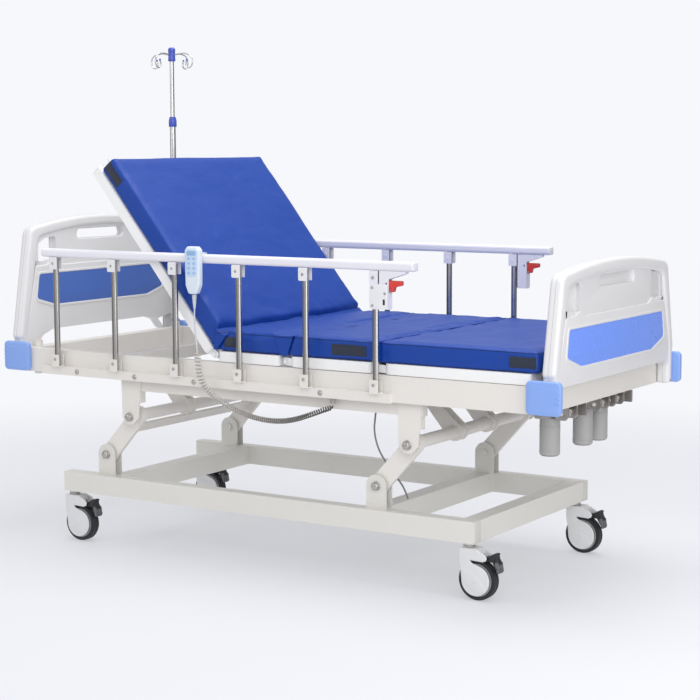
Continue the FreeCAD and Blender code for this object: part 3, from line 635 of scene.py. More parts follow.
class BED_OT_steelwork(bpy.types.Operator):
    """Paint the frames, and add pivot bolts, end plugs, weld beads and the screws of the guard channels"""

    bl_idname = "bed.steelwork"
    bl_label = "Steelwork"

    def execute(self, context):
        kit = context.scene.bed_steel
        cream = powder_coat("frame powder coat", kit.frame_paint, kit.peel)
        ivory = powder_coat("base powder coat", kit.base_paint, kit.peel)
        white = powder_coat("platform powder coat", linear("#F3F3F3"), kit.peel)
        bright = zinc_plate("zinc plated bolts")
        repaint(ivory, "base_frame")
        repaint(cream, "bed_frame", "foot_lift_frame", "head_lift_frame", "lift_link", "rail_channels")
        repaint(white, *(n for n in nodes if n.endswith("_platform")))
        for name, body, pivots, face in (
            ("pivot_bolts_base", "base", BASE_PIVOTS, 371.5), ("pivot_bolts_frame", "upper_frame", FRAME_PIVOTS, 402.5)
        ):
            heads = [((x, side * face, z), (0, side, 0)) for x, z in pivots for side in (-1, 1)]
            bolts = studded(name, "bolt", heads, bright, Across_flats=kit.bolt_flats * 1.1, Height=0.0095)
            settle(bolts, body)
        plug = moulded_abs("tube end plugs", shade(kit.base_paint, 0.9), 0.5)
        plugs = []
        for side in (-1, 1):
            for x, way in BASE_ENDS:
                low, high = between(side, 354, 395)
                start, end = sorted((x - way * 3, x + way * 2.5))
                plugs.append(block("plug", (start, low, BASE_LOW), (end, high, BASE_HIGH), 2))
        settle(coat(joined("base_end_plugs", plugs), plug), "base")
        beads = []
        for side in (-1, 1):
            y = side * BRACKET_FACE
            for x0, x1 in BRACKET_FEET:
                for x in (x0, x1):
                    beads.append(wire("bead", [(x, y, z) for z in (BASE_LOW, 195, 215, BASE_HIGH)], 5))
                beads.append(wire("bead", [(x, y, BASE_HIGH + 1.5) for x in (x0, (x0 + x1) / 2, x1)], 4.5))
        settle(coat(joined("base_weld_beads", beads), ivory), "base")
        heads = [((x, side * 444, 599), (0, side, 0)) for x in CHANNEL_SCREWS for side in (-1, 1)]
        screws = studded("channel_screws", "rivet", heads, bright, Radius=0.007)
        settle(screws, "upper_frame", "frame_screws")
        return {"FINISHED"}


# ---------------------------------------------------------------- end boards
def crown_arc(half, z_side, z_mid, count=15):
    """Points of the curved top edge, from one shoulder to the other."""
    radius = (half**2 + (z_mid - z_side) ** 2) / (2 * (z_mid - z_side))
    result = []
    for k in range(1, count):
        y = half * (1 - 2 * k / count)
        result.append((y, z_mid - radius + math.sqrt(radius**2 - y**2), 0))
    return result


def hexagon(top, z_top, side, z_side, low, z_low):
    right = [(low, z_low), (side, z_side), (top, z_top)]
    return right + mirrored(right)


def inset_panel(out, corners, x_face, finish, border):
    """A coloured panel with softened edges, in a raised white frame. out is 1 or -1, the way that it faces."""
    middle = sum(z for y, z in corners) / len(corners)
    grow = [(y + math.copysign(9, y), z + (9 if z > middle else -9)) for y, z in corners]
    back = x_face - out * 5
    panel = plate("inset", [rounded(corners, 12)], *sorted((back, x_face + out * 0.6)), 1.5, "X")
    loops = [rounded(grow, 16), rounded(corners, 12)]
    edge = plate("inset_frame", loops, *sorted((back, x_face + out * 2.2)), 2.2, "X")
    return joined("inset", [coat(panel, finish), coat(edge, border)])


BOARD_MIDDLE = 1022.5
FOOT_WINDOW, HEAD_WINDOW = 862, 944
FOOT_RECESS = [(264, 868), (372, 880), (360, 944), (310, 962), (262, 966)]
FOOT_GRIP = [(-132, 938), (132, 938), (120, 974), (-120, 974)]
HEAD_OPENING = [(240, 948), (352, 956), (338, 1024), (300, 1044), (238, 1050)]
HEAD_GRIP = [(-133, 1030), (133, 1030), (121, 1064), (-121, 1064)]


class BED_OT_end_boards(bpy.types.Operator):
    """Mould the headboard and the footboard with round rims, thin panels and coloured insets"""

    bl_idname = "bed.end_boards"
    bl_label = "End boards"

    def board(self, node, kit, shell, edge, crown, arch, sill, window_low, holes, backing, half):
        """One board: a tube-like rim, a lower body and a thin upper panel with its openings."""
        low, high = [c[0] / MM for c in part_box(node)]
        middle = (low + high) / 2
        rim = kit.rim / MM
        side, top = edge[-1][:2]
        right = [(398, 587.5, 6), (430, 587.5, 6), (430, 694, 4), (437, 704, 14)] + edge
        outer = right + crown_arc(side, top, crown) + mirrored(right)
        inside = [(398, 640, 6), (397, 712, 20), (side - rim, top - rim + 4, 34)]
        inner = inside + crown_arc(side - rim, top - rim + 4, crown - rim + 2) + mirrored(inside)
        pieces = [plate("rim", [rounded(outer + inner[::-1], 6)], low, high, 13, "X", 6)]
        body = [(y, z, 14) for y, z in arch[:0:-1]] + [(arch[0][0] + 5, arch[0][1], 4), (402, 720, 4)]
        body += [(side - rim + 16, sill[0][1], 4)] + [(y, z, 12) for y, z in sill[1:]]
        pieces.append(plate("body", [rounded(body + mirrored(body), 8)], middle - 20, middle + 20, 4, "X"))
        panel = [(side - rim + 8, window_low - 12, 0), (side - rim + 4, top - rim + 8, 30)]
        panel += crown_arc(side - rim + 4, top - rim + 8, crown - rim + 8) + mirrored(panel)
        loops = [rounded(panel, 8)] + [rounded(hole, 13) for hole in holes]
        pieces.append(plate("panel", loops, middle - half, middle + half, 5, "X"))
        if backing:
            pieces.append(plate("web", [rounded(panel, 8)], middle - 3, middle + 3, 0.5, "X", 1))
        settle(coat(joined(node + "_shell", pieces), shell), "upper_frame", node)

    def bumpers(self, blue):
        """Four corner blocks, each with a raised pad and three ribs."""
        parts = []
        for end in (-1, 1):
            for side in (-1, 1):
                x0, x1 = sorted((end * 957.5, end * 1069.5))
                outline = [(x0, 588.5), (x1, 588.5), (x1, 688.5), (x0, 688.5)]
                parts.append(plate("bumper", [rounded(outline, 15)], *between(side, 430.5, 450), 6, "Y", 5))
                inner = [(x0 + 9, 597), (x1 - 9, 597), (x1 - 9, 674), (x0 + 9, 674)]
                parts.append(plate("pad", [rounded(inner, 11)], *between(side, 444, 451.2), 2, "Y"))
                for z in (628, 642, 656):
                    start, stop = sorted((end * 1050, end * 1066))
                    low, high = between(side, 446, 452.4)
                    parts.append(block("rib", (start, low, z - 3), (stop, high, z + 3), 1.6))
        settle(coat(joined("bumper_set", parts), blue), "upper_frame", "corner_bumpers")

    def execute(self, context):
        kit = context.scene.bed_boards
        shell = moulded_abs("board ABS", kit.shell, 0.3, 1.5, parting=BOARD_MIDDLE * MM)
        self.board(
            "footboard", kit, shell, [(384, 988, 45)], 1020, [(398, 640), (385, 663), (372, 663)],
            [(0, 862), (300, 866), (262, 880), (232, 862)], FOOT_WINDOW,
            [FOOT_RECESS, mirrored(FOOT_RECESS), FOOT_GRIP], True, 15,
        )
        self.board(
            "headboard", kit, shell, [(372, 1078, 45)], 1113, [(398, 640), (348, 668), (318, 700), (262, 718)],
            [(0, 944), (300, 946), (258, 962), (226, 944)], HEAD_WINDOW,
            [HEAD_OPENING, mirrored(HEAD_OPENING), HEAD_GRIP], False, 16,
        )
        foot = moulded_abs("foot panel film", kit.foot_panel, 0.24, 2.0)
        head = moulded_abs("head panel film", kit.head_panel, 0.3, 2.0)
        insets = []
        for end, corners, film in (
            (1, hexagon(340, 828, 354, 747, 257, 714), foot), (-1, hexagon(334, 915, 348, 830, 254, 804), head)
        ):
            for face in (-20, 20):
                out = end if face > 0 else -end
                insets.append(inset_panel(out, corners, end * (BOARD_MIDDLE + face), film, shell))
        settle(joined("board_panels", insets), "upper_frame", "board_insets")
        self.bumpers(moulded_abs("bumper ABS", kit.bumper, 0.3, 1.5))
        return {"FINISHED"}


# ---------------------------------------------------------------- mattress
BACK_TURN = math.radians(51.2)
BACK_LINE = Vector((-0.180, 0, 0.690))
COVER_FLOOR = 0.7035
SEAM_LEVEL = 0.7625
FOLD_HALF = 429
RAISED = Matrix.Translation(BACK_LINE) @ Matrix.Rotation(BACK_TURN, 4, "Y") @ Matrix.Translation(-BACK_LINE)


def foam(name, outline, half):
    """A foam section cut to an X-Z outline in millimetres, its long edges eased."""
    shape = bmesh.new()
    sides = []
    for y in (-half, half):
        sides.append([shape.verts.new((x * MM, y * MM, z * MM)) for x, z in outline])
    shape.faces.new(sides[0])
    shape.faces.new(sides[1][::-1])
    for k in range(len(outline)):
        n = (k + 1) % len(outline)
        shape.faces.new((sides[0][k], sides[1][k], sides[1][n], sides[0][n]))
    bmesh.ops.recalc_face_normals(shape, faces=shape.faces)
    bmesh.ops.bevel(shape, geom=shape.edges[:], offset=0.006, segments=3, profile=0.6, affect="EDGES")
    return ended(name, shape)


def swollen(piece, cap):
    """Tight cover over foam: remeshed, blown up a little as cloth, and each point's travel capped."""
    remesh = piece.modifiers.new("remesh", "REMESH")
    remesh.mode = "VOXEL"
    remesh.voxel_size = 0.009
    piece = plain(piece)
    rest = [v.co.copy() for v in piece.data.vertices]
    cover = piece.modifiers.new("cover", "CLOTH").settings
    cover.quality = 4
    cover.mass = 0.3
    cover.tension_stiffness = 12
    cover.compression_stiffness = 12
    cover.bending_stiffness = 0.4
    cover.use_pressure = True
    cover.uniform_pressure_force = 4
    cover.effector_weights.gravity = 0
    scene = bpy.context.scene
    for step in range(1, 13):
        scene.frame_set(step)
    moved = piece.evaluated_get(bpy.context.evaluated_depsgraph_get()).data
    pushed = [v.co.copy() for v in moved.vertices]
    piece.modifiers.clear()
    scene.frame_set(1)
    for vertex, start, end in zip(piece.data.vertices, rest, pushed):
        travel = end - start
        if travel.length > cap:
            travel *= cap / travel.length
        vertex.co = start + travel
        vertex.co.z = max(vertex.co.z, COVER_FLOOR)
    return piece


def creased(piece, lines):
    """Soft wrinkles in the cover, deeper beside the folds at the given X positions."""
    depth = 0.003
    normals = [n.vector.copy() for n in piece.data.vertex_normals]
    for vertex, normal in zip(piece.data.vertices, normals):
        place = vertex.co
        near = max([math.exp(-(((place.x - x) / 0.07) ** 2)) for x in lines] + [0.0])
        drift = noise.noise(Vector((place.x * 5, place.y * 3.2, place.z * 4))) * depth * 0.9
        ripple = noise.noise(Vector((place.x * 26, place.y * 9, place.z * 9))) * depth * (0.25 + 1.1 * near)
        fan = noise.noise(Vector((place.x * 9, place.y * 30, 3.7))) * depth * 0.9 * near
        vertex.co = place + normal * (drift + ripple + fan)
        vertex.co.z = max(vertex.co.z, COVER_FLOOR)
    finer = piece.modifiers.new("finer", "SUBSURF")
    finer.levels = finer.render_levels = 1
    return tidy(plain(piece), 75)


class BED_OT_mattress(bpy.types.Operator):
    """Pad the four mattress sections, and add the fold gussets, corner straps and stitches"""

    bl_idname = "bed.mattress"
    bl_label = "Mattress"

    def strap(self, name, target, x0, x1, side, body, finish, thread, tilt=False):
        """An elastic band drawn tight over a section's side, stitched along both edges."""
        shape = bmesh.new()
        grid = {}
        for i in range(13):
            for j in range(5):
                x, z = x0 + (x1 - x0) * i / 12, 717 + 36 * j / 4
                grid[i, j] = shape.verts.new((x * MM, side * 0.4375, z * MM))
        for i in range(12):
            for j in range(4):
                shape.faces.new((grid[i, j], grid[i + 1, j], grid[i + 1, j + 1], grid[i, j + 1]))
        band = ended(name, shape)
        wrap = band.modifiers.new("wrap", "SHRINKWRAP")
        wrap.target = target
        wrap.offset = 0.0012
        band = plain(band)
        middle = sum(abs(v.co.y) for v in band.data.vertices) / len(band.data.vertices)
        thick = band.modifiers.new("thick", "SOLIDIFY")
        thick.thickness = 0.002
        band = coat(tidy(plain(band), 30), finish)
        y = side * (middle / MM + 1.4)
        rows = [(x, y, z) for z in (721, 749) for x in (x0 + 3, x1 - 3)]
        seam = grown(name + "_thread", tree_for("stitch"), rows, edges=((0, 1), (2, 3)),
                     Stitch=0.005, Thread=0.0006, Finish=thread)
        band = joined(name, [band, coat(seam, thread)])
        if tilt:
            band.data.transform(RAISED)
        settle(band, body)

    def gusset(self, name, low_end, high_end, body_a, body_b, start, end, cloth, sag):
        """A folded strip of cover that closes the gap between two sections."""
        shape = bmesh.new()
        across, down, deep = 60, 16, 5
        sheet = {}
        for i in range(across + 1):
            y = (-FOLD_HALF + 2 * FOLD_HALF * i / across) * MM
            for j in range(down + 1):
                share = j / down
                for k in range(deep + 1):
                    level = k / deep
                    a = Vector(low_end[0]).lerp(Vector(low_end[1]), share)
                    b = Vector(high_end[0]).lerp(Vector(high_end[1]), share)
                    spot = a.lerp(b, level) * MM
                    lift = noise.noise(Vector((share * 4, y * 22, 1.3))) * 0.0022 if k == deep else 0
                    drop = sag * math.sin(math.pi * share) * level
                    sheet[i, j, k] = (spot.x, y, spot.y + lift - drop)
        verts = {key: shape.verts.new(v) for key, v in sheet.items()
                 if key[0] in (0, across) or key[1] in (0, down) or key[2] in (0, deep)}

        def skin(cells):
            for cell in cells:
                shape.faces.new([verts[key] for key in cell])

        for i in range(across):
            for k in (0, deep):
                skin([((i, j, k), (i + 1, j, k), (i + 1, j + 1, k), (i, j + 1, k)) for j in range(down)])
            for j in (0, down):
                skin([((i, j, k), (i + 1, j, k), (i + 1, j, k + 1), (i, j, k + 1)) for k in range(deep)])
        for i in (0, across):
            for j in range(down):
                skin([((i, j, k), (i, j + 1, k), (i, j + 1, k + 1), (i, j, k + 1)) for k in range(deep)])
        bmesh.ops.recalc_face_normals(shape, faces=shape.faces)
        piece = coat(tidy(ended(name, shape), 70), cloth)
        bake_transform(piece)

    def execute(self, context):
        kit = context.scene.bed_mattress
        flat = coated_nylon("cover cloth, flat", kit.cover, kit.thread, 0.0, ((2, SEAM_LEVEL),))
        tilted = coated_nylon("cover cloth, raised", kit.cover, kit.thread, BACK_TURN)
        band = webbing("elastic webbing", kit.strap)
        thread = rubber("strap thread", linear("#2C3E66"), 0.7)
        low, high, half = 703.8, 768, 425
        back_x, thigh_x = -180, 100
        lean, lean_t = math.radians(35), math.radians(20)
        b_low, b_high = 13 * math.tan(lean) + 3, 82 * math.tan(lean) + 3
        t_low, t_high = 18 * math.tan(lean_t) + 3, 87 * math.tan(lean_t) + 3
        sections = {
            "back": ([(-934, low), (back_x - b_low, low), (back_x - b_high, high), (-934, high)],
                     "back_section", (-0.2,)),
            "seat": ([(back_x + b_low, low), (thigh_x - t_low, low), (thigh_x - t_high, high),
                      (back_x + b_high, high)], "upper_frame", (-0.14, 0.08)),
            "thigh": ([(thigh_x + t_low, low), (438, low), (438, high), (thigh_x + t_high, high)],
                      "thigh_section", (0.12, 0.43)),
            "leg": ([(446, low), (988, low), (988, high), (446, high)], "leg_section", (0.46,)),
        }
        pads = {}
        for name, (outline, body, folds) in sections.items():
            pads[name] = creased(swollen(foam(name + "_cushion", outline, half), kit.swell), folds)
        for name, x0, x1 in (("back", -936, -842), ("seat", -138, -70), ("thigh", 275, 400), ("leg", 890, 984)):
            for side_name, side in SIDES:
                self.strap(name + "_strap_" + side_name, pads[name], x0, x1, side, sections[name][1],
                           band, thread, name == "back")
        for name, pad in pads.items():
            if name == "back":
                pad.data.transform(RAISED)
            coat(pad, tilted if name == "back" else flat)
            settle(pad, sections[name][1], name + "_mattress")
        tip = BACK_LINE / MM

        def ray(angle, reach):
            return (tip.x + math.sin(angle) * reach, tip.z + math.cos(angle) * reach)

        a, b = lean + 0.09, lean - (math.radians(70) - BACK_TURN) - 0.09
        self.gusset("back_fold", [ray(a, 22), ray(b, 22)], [ray(a, 88), ray(b, 88)], "upper_frame", "back_section",
                    [c * MM for c in (ray(lean, 84)[0], 0, ray(lean, 84)[1])],
                    [c * MM for c in (ray(b + 0.09, 84)[0], 0, ray(b + 0.09, 84)[1])], flat, 0.006)
        self.gusset("seat_fold", [(88, 705), (112, 705)], [(64, 769), (136, 769)], "upper_frame", "thigh_section",
                    (0.066, 0, 0.769), (0.134, 0, 0.769), flat, 0.003)
        self.gusset("knee_fold", [(431, 705), (453, 705)], [(431, 770), (453, 770)], "thigh_section", "leg_section",
                    (0.436, 0, 0.769), (0.448, 0, 0.769), flat, 0.003)
        return {"FINISHED"}


# ---------------------------------------------------------------- side guards
POSTS = [-821, -566.2, -311.4, -56.6, 198.2, 453]
LATCH_COVER = [(444, 873), (503, 873), (503, 944), (444, 944)]
LATCH_WINDOW = [(488, 884), (496, 884), (496, 902), (488, 902)]
LATCH_SLOT = [(487, 883), (497, 883), (497, 903), (487, 903)]
LATCH_RIVETS = ((452, 936), (452, 882), (496, 919))
LEVER = [
    (489, 942, 2), (506, 938.5), (511.5, 924, 3), (520.5, 924, 3), (524, 938.5), (549, 944.5, 4), (549, 958, 4),
    (489, 958, 2),
]


class BED_OT_side_guards(bpy.types.Operator):
    """Finish the rails and posts, and add rivets, end caps, latch covers and the red latch levers"""

    bl_idname = "bed.side_guards"
    bl_label = "Side guards"

    def execute(self, context):
        kit = context.scene.bed_guards
        rail = powder_coat("rail coating", kit.rail, 0.003)
        steel = drawn_stainless("post stainless", "#BFBDBA", roughness=0.16)
        bright = zinc_plate("rivets", "#C9C9C8")
        white = moulded_abs("bracket nylon", linear("#E8E8EA"), 0.4)
        red = moulded_abs("lever acetal", kit.lever, 0.3)
        dark = rubber("latch shadow", linear("#2A2B2E"), 0.6)
        for side_name, side in SIDES:
            guard = side_name + "_guard"
            repaint(rail, side_name + "_top_rail")
            repaint(steel, *(f"{side_name}_post_{k}" for k in range(1, 7)))
            for name, body, face, z in (
                ("_bracket_rivets", guard, 466.8, 966), ("_foot_rivets", "upper_frame", 466.2, 640)
            ):
                heads = [((x, side * face, z), (0, side, 0)) for x in POSTS]
                settle(studded(side_name + name, "rivet", heads, bright, Radius=kit.rivet / 2), body)
            parts = []
            for x in POSTS[:-1]:
                outline = rounded([(x - 16, 946), (x + 16, 946), (x + 16, 987), (x - 16, 987)], 5)
                parts.append(coat(plate("bracket", [outline], *between(side, 463.6, 467.2), 1.2), white))
            for x, way in ((-871, -1), (593, 1)):
                start, end = sorted((x - way * 1.5, x + way * 1.6))
                low, high = between(side, 438.5, 464.5)
                parts.append(coat(block("cap", (start, low, 989), (end, high, 1014), 1.5), white))
            cover = [rounded(LATCH_COVER, 8), rounded(LATCH_WINDOW, 3)]
            parts.append(coat(plate("latch_cover", cover, *between(side, 466, 468.4), 1.1), white))
            slot = plate("slot", [rounded(LATCH_SLOT, 3)], *between(side, 464, 467.2), 0.4)
            parts.append(coat(slot, dark))
            settle(joined(side_name + "_rail_fittings", parts), guard)
            heads = [((x, side * 468, z), (0, side, 0)) for x, z in LATCH_RIVETS]
            settle(studded(side_name + "_latch_rivets", "rivet", heads, bright, Radius=0.0036), guard)
            lever = plate(side_name + "_lever_grip", [rounded(LEVER, 5)], *between(side, 444.2, 459.5), 2.4)
            settle(coat(lever, red), side_name + "_latch", side_name + "_latch_lever")
        return {"FINISHED"}


# ---------------------------------------------------------------- castors
CASTORS = {"near_head": (-830, -368), "near_foot": (732, -368), "far_head": (-830, 368), "far_foot": (732, 368)}


WHEEL_TRAIL, AXLE_HEIGHT = 33, 62.5
TYRE = [
    (50.8, -15), (60, -15.6), (62, -12), (62.4, -4), (61.6, -2.6), (61.6, 2.6), (62.4, 4), (62, 12), (60, 15.6),
    (50.8, 15), (50.8, -15),
]
DISC = [
    (6.1, -13), (16, -13), (18, -9), (42, -8), (45, -13), (51, -13.6), (51, 13.6), (45, 13), (42, 8), (18, 9),
    (16, 13), (6.1, 13), (6.1, -13),
]
CHEEK = [
    (-22, 158), (34, 158), (54, 151), (67, 142), (71, 134), (68, 126), (58, 122), (34, 123), (14, 124), (20, 116),
    *((WHEEL_TRAIL + 47 * math.cos(math.radians(a)), AXLE_HEIGHT + 47 * math.sin(math.radians(a)))
      for a in range(76, -181, -8)),
    (-17, 90), (-22, 118),
]
SWOOSH = [(-15, 96), (2, 98), (30, 84), (60, 52), (70, 34), (50, 27), (24, 34), (-6, 60)]
CROWN = [(-22, 128), (36, 128), (46, 140), (40, 159.5), (-22, 159.5)]
STEM_RING = [(8, 160.2), (16, 160.2), (18.5, 161.5), (18.5, 165), (15, 166), (8, 166), (8, 160.2)]
PEDAL_ARM = [
    (57, 121), (84, 122), (93, 106), (101, 100), (108, 118), (100, 132), (96, 149), (88, 149), (83, 137), (57, 136),
]
PEDAL_LUG = [(76, 126), (92, 126), (99, 149), (86, 147), (74, 140)]
PEDAL_NECK = [(94, 112), (96, 126), (106, 122), (109, 100), (101, 98)]


class BED_OT_castors(bpy.types.Operator):
    """Build the four swivel castors with their hoods, tyres, ribbed hubs and brake pedals"""

    bl_idname = "bed.castors"
    bl_label = "Castors"

    def execute(self, context):
        kit = context.scene.bed_castors
        hood = moulded_abs("hood nylon", kit.hood, 0.34)
        tyre = rubber("tyre rubber", kit.tread, 0.55)
        black = moulded_abs("pedal nylon", linear("#202124"), 0.45)
        grey = moulded_abs("paddle nylon", linear("#5F5F62"), 0.5)
        hub = moulded_abs("hub nylon", linear("#A8AAAD"), 0.42)
        bright = zinc_plate("castor stem")
        for corner, (x, y) in CASTORS.items():
            wx, wz = x + WHEEL_TRAIL, AXLE_HEIGHT
            parts = [coat(turned("tyre", TYRE, (wx, y, wz), "Y", 64), tyre)]
            parts.append(coat(turned("disc", DISC, (wx, y, wz), "Y", 48), hub))
            for face in (-9, 9):
                heads = []
                for k in range(kit.spokes):
                    c, s = math.cos(math.tau * k / kit.spokes), math.sin(math.tau * k / kit.spokes)
                    heads.append(((wx + 30 * c, y + face, wz + 30 * s), (c, 0, s)))
                parts.append(studded("ribs", "rib", heads, hub, Length=0.024))
            settle(joined("wheel_" + corner, parts), "wheel_" + corner, "castor_wheel_" + corner)
            parts = []
            for side in (-1, 1):
                for name, loop, inner, outer, bevel, rings in (
                    ("cheek", shifted(CHEEK, x), 17.8, 26, 3.2, 5),
                    ("swoosh", rounded(shifted(SWOOSH, x), 9), 25, 27.2, 0.9, 3),
                    ("axle_cap", circle(wx, wz, 7, 24), 25, 28.6, 1.2, 4),
                ):
                    low, high = sorted((y + side * inner, y + side * outer))
                    parts.append(plate(name, [loop], low, high, bevel, "Y", rings))
            parts.append(plate("crown", [rounded(shifted(CROWN, x), 8)], y - 25.5, y + 25.5, 5))
            shell = coat(joined("hood_" + corner, parts), hood)
            settle(shell, "castor_" + corner, "castor_fork_" + corner)
            ring = coat(turned("stem_ring_" + corner, STEM_RING, (x, y, 0)), bright)
            settle(ring, "castor_" + corner)
            parts = [coat(plate("arm", [rounded(shifted(PEDAL_ARM, x), 3)], y - 12, y + 12, 2), black)]
            for low, high in ((y - 15, y - 8), (y + 8, y + 15)):
                parts.append(coat(plate("lug", [rounded(shifted(PEDAL_LUG, x), 2.5)], low, high, 1.4), black))
            pad = [(y - 19.5, 106), (y + 19.5, 106), (y + 17, 90), (y - 17, 90)]
            parts.append(coat(plate("flap", [rounded(pad, 8)], x + 101, x + 109, 3, "X", 4), grey))
            parts.append(coat(plate("neck", [rounded(shifted(PEDAL_NECK, x), 3)], y - 17, y + 17, 3), grey))
            for z in (93, 98, 103):
                parts.append(coat(block("ridge", (x + 107, y - 13, z), (x + 110.4, y + 13, z + 2), 0.8, 2), grey))
            pedal = joined("pedal_grip_" + corner, parts)
            settle(pedal, "pedal_" + corner, "castor_pedal_" + corner)
        return {"FINISHED"}


# ---------------------------------------------------------------- drives
DRIVES = {"thigh": (-222, "upper_frame"), "back": (8, "upper_frame"), "lift": (117, "lift_drive")}
DRIVE_X = 925
DRIVE_CUP = [(0, 433), (24, 433), (28, 435), (29, 439), (0, 439)]
CHEEK_PLATE = [(953, 586, 2), (953, 560), (964, 547), (992, 547), (1001, 557), (1001, 586, 2)]
SPARE_PLATE = [(953, 586), (964, 547), (1001, 547), (1001, 586)]
BOX_LID = [(276, -344), (462, -344), (462, -134), (276, -134)]


class BED_OT_drives(bpy.types.Operator):
    """Finish the three electric drives and the control box, with bands, end caps, screws and brackets"""

    bl_idname = "bed.drives"
    bl_label = "Drives"

    def execute(self, context):
        kit = context.scene.bed_accessories
        grey = moulded_abs("drive ABS", kit.motor, 0.42)
        dark = moulded_abs("drive end caps", shade(kit.motor, 0.55), 0.5)
        steel = drawn_stainless("push rod steel", streak=(14.0, 900.0, 900.0))
        bright = zinc_plate("bracket zinc", "#B9B4AF")
        repaint(grey, "back_actuator", "thigh_actuator", "lift_actuator", "control_box")
        repaint(steel, "back_push_rod", "thigh_push_rod", "lift_push_rod")
        for name, (y, body) in DRIVES.items():
            parts = []
            for z in (446, 520):
                band = [(30.6, z), (31.7, z + 0.6), (31.7, z + 3), (30.6, z + 3.6), (29, z + 3.6), (29, z), (30.6, z)]
                parts.append(coat(turned("band", band, (DRIVE_X, y, 0), "Z", 48), grey))
            parts.append(coat(turned("cup", DRIVE_CUP, (DRIVE_X, y, 0), "Z", 48), dark))
            if name != "lift":  # the lift drive tilts close under the frame, so its housing has no raised seam
                parts.append(coat(block("seam", (890.5, y - 1.2, 545), (949.5, y + 1.2, 600.8), 0.8, 2), dark))
            heads = [((x, y + side * 31, z), (0, side, 0)) for side in (-1, 1) for x in (899, 941) for z in (552, 593)]
            parts.append(studded("screws", "rivet", heads, bright, Radius=0.0028))
            settle(joined(name + "_drive_trim", parts), body)
        sides = []
        for y in (-222, 8, 117):
            for y0, y1 in ((y - 34, y - 27.4), (y + 27.4, y + 34)):
                sides.append(plate("cheek", [rounded(CHEEK_PLATE, 5), circle(978, 566, 6, 20)], y0, y1, 0.8))
        for y in (-129, 205):
            sides.append(plate("cheek", [rounded(SPARE_PLATE, 3)], y, y + 7, 0.8))
        settle(coat(joined("drive_brackets", sides), bright), "upper_frame")
        lid = plate("control_box_lid", [rounded(BOX_LID, 10)], 600.6, 604.5, 1.5, "Z")
        settle(coat(lid, dark), "upper_frame")
        return {"FINISHED"}


# ---------------------------------------------------------------- pole
POLE_X, POLE_Y = -968, 384
LOWER_TUBE = [(8.6, 581), (10.6, 581), (11, 582), (11, 1446), (10, 1447), (8.6, 1447), (8.6, 581)]
POLE_SEAT = [(11, 690.2), (15, 690.2), (15, 698.5), (13.5, 700), (11, 700), (11, 690.2)]
POLE_COLLAR = [
    (11, 1429.5), (14, 1429.5), (15, 1431), (15, 1452), (13.4, 1458), (12, 1466), (8.7, 1467), (8.7, 1448), (11, 1447),
    (11, 1429.5),
]
UPPER_ROD = [(0, 901), (7, 901), (8, 902), (8, 1680), (0, 1680)]
POLE_HEAD = [
    (0, 1674), (11, 1674), (13.5, 1677), (14, 1682), (13, 1688), (13, 1712), (14, 1716), (12.5, 1722), (8, 1726),
    (0, 1726),
]
HOOK_BEND = [
    (8, 1698), (40, 1704), (70, 1702), (93, 1692), (100, 1668), (88, 1648), (70, 1650), (64, 1664), (71, 1676),
]


class BED_OT_pole(bpy.types.Operator):
    """Build the telescopic pole with its collar, head and wire hooks"""

    bl_idname = "bed.pole"
    bl_label = "Pole"

    def execute(self, context):
        steel = drawn_stainless("pole stainless", "#DADAD9", roughness=0.26)
        violet = moulded_abs("pole head ABS", context.scene.bed_accessories.pole_head, 0.28)
        x, y = POLE_X, POLE_Y
        parts = [coat(turned("tube", LOWER_TUBE, (x, y, 0)), steel)]
        for name, profile in (("seat", POLE_SEAT), ("clamp", POLE_COLLAR)):
            parts.append(coat(turned(name, profile, (x, y, 0)), violet))
        settle(joined("pole_lower", parts), "upper_frame", "iv_pole_lower")
        parts = [coat(turned("rod", UPPER_ROD, (x, y, 0)), steel), coat(turned("head", POLE_HEAD, (x, y, 0)), violet)]
        for c, s in ((1, 0), (0, 1), (-1, 0), (0, -1)):
            parts.append(coat(wire("hook", [(x + r * c, y + r * s, z) for r, z in HOOK_BEND], 5), steel))
            tip = (x + 71 * c, y + 71 * s, 1675)
            parts.append(coat(turned("tip", [(0, 0), (3, 1), (3.6, 4), (3, 7), (0, 8)], tip, "Z", 16), violet))
        settle(joined("pole_upper", parts), "iv_upper", "iv_pole_upper")
        return {"FINISHED"}


# ---------------------------------------------------------------- handset
CASE = [
    (-225, 889.5, 12), (-193, 889.5, 12), (-181, 917, 18), (-179.5, 1030, 12), (-190, 1041.5, 10), (-228, 1041.5, 10),
    (-238.5, 1030, 12), (-236.5, 917, 18),
]
KEYPAD = [(-224, 946, 6), (-194, 946, 6), (-187, 956, 6), (-185.5, 1033, 8), (-232.5, 1033, 8), (-231, 956, 6)]
WINDOW = [(-226, 1013), (-192, 1013), (-192, 1028), (-226, 1028)]


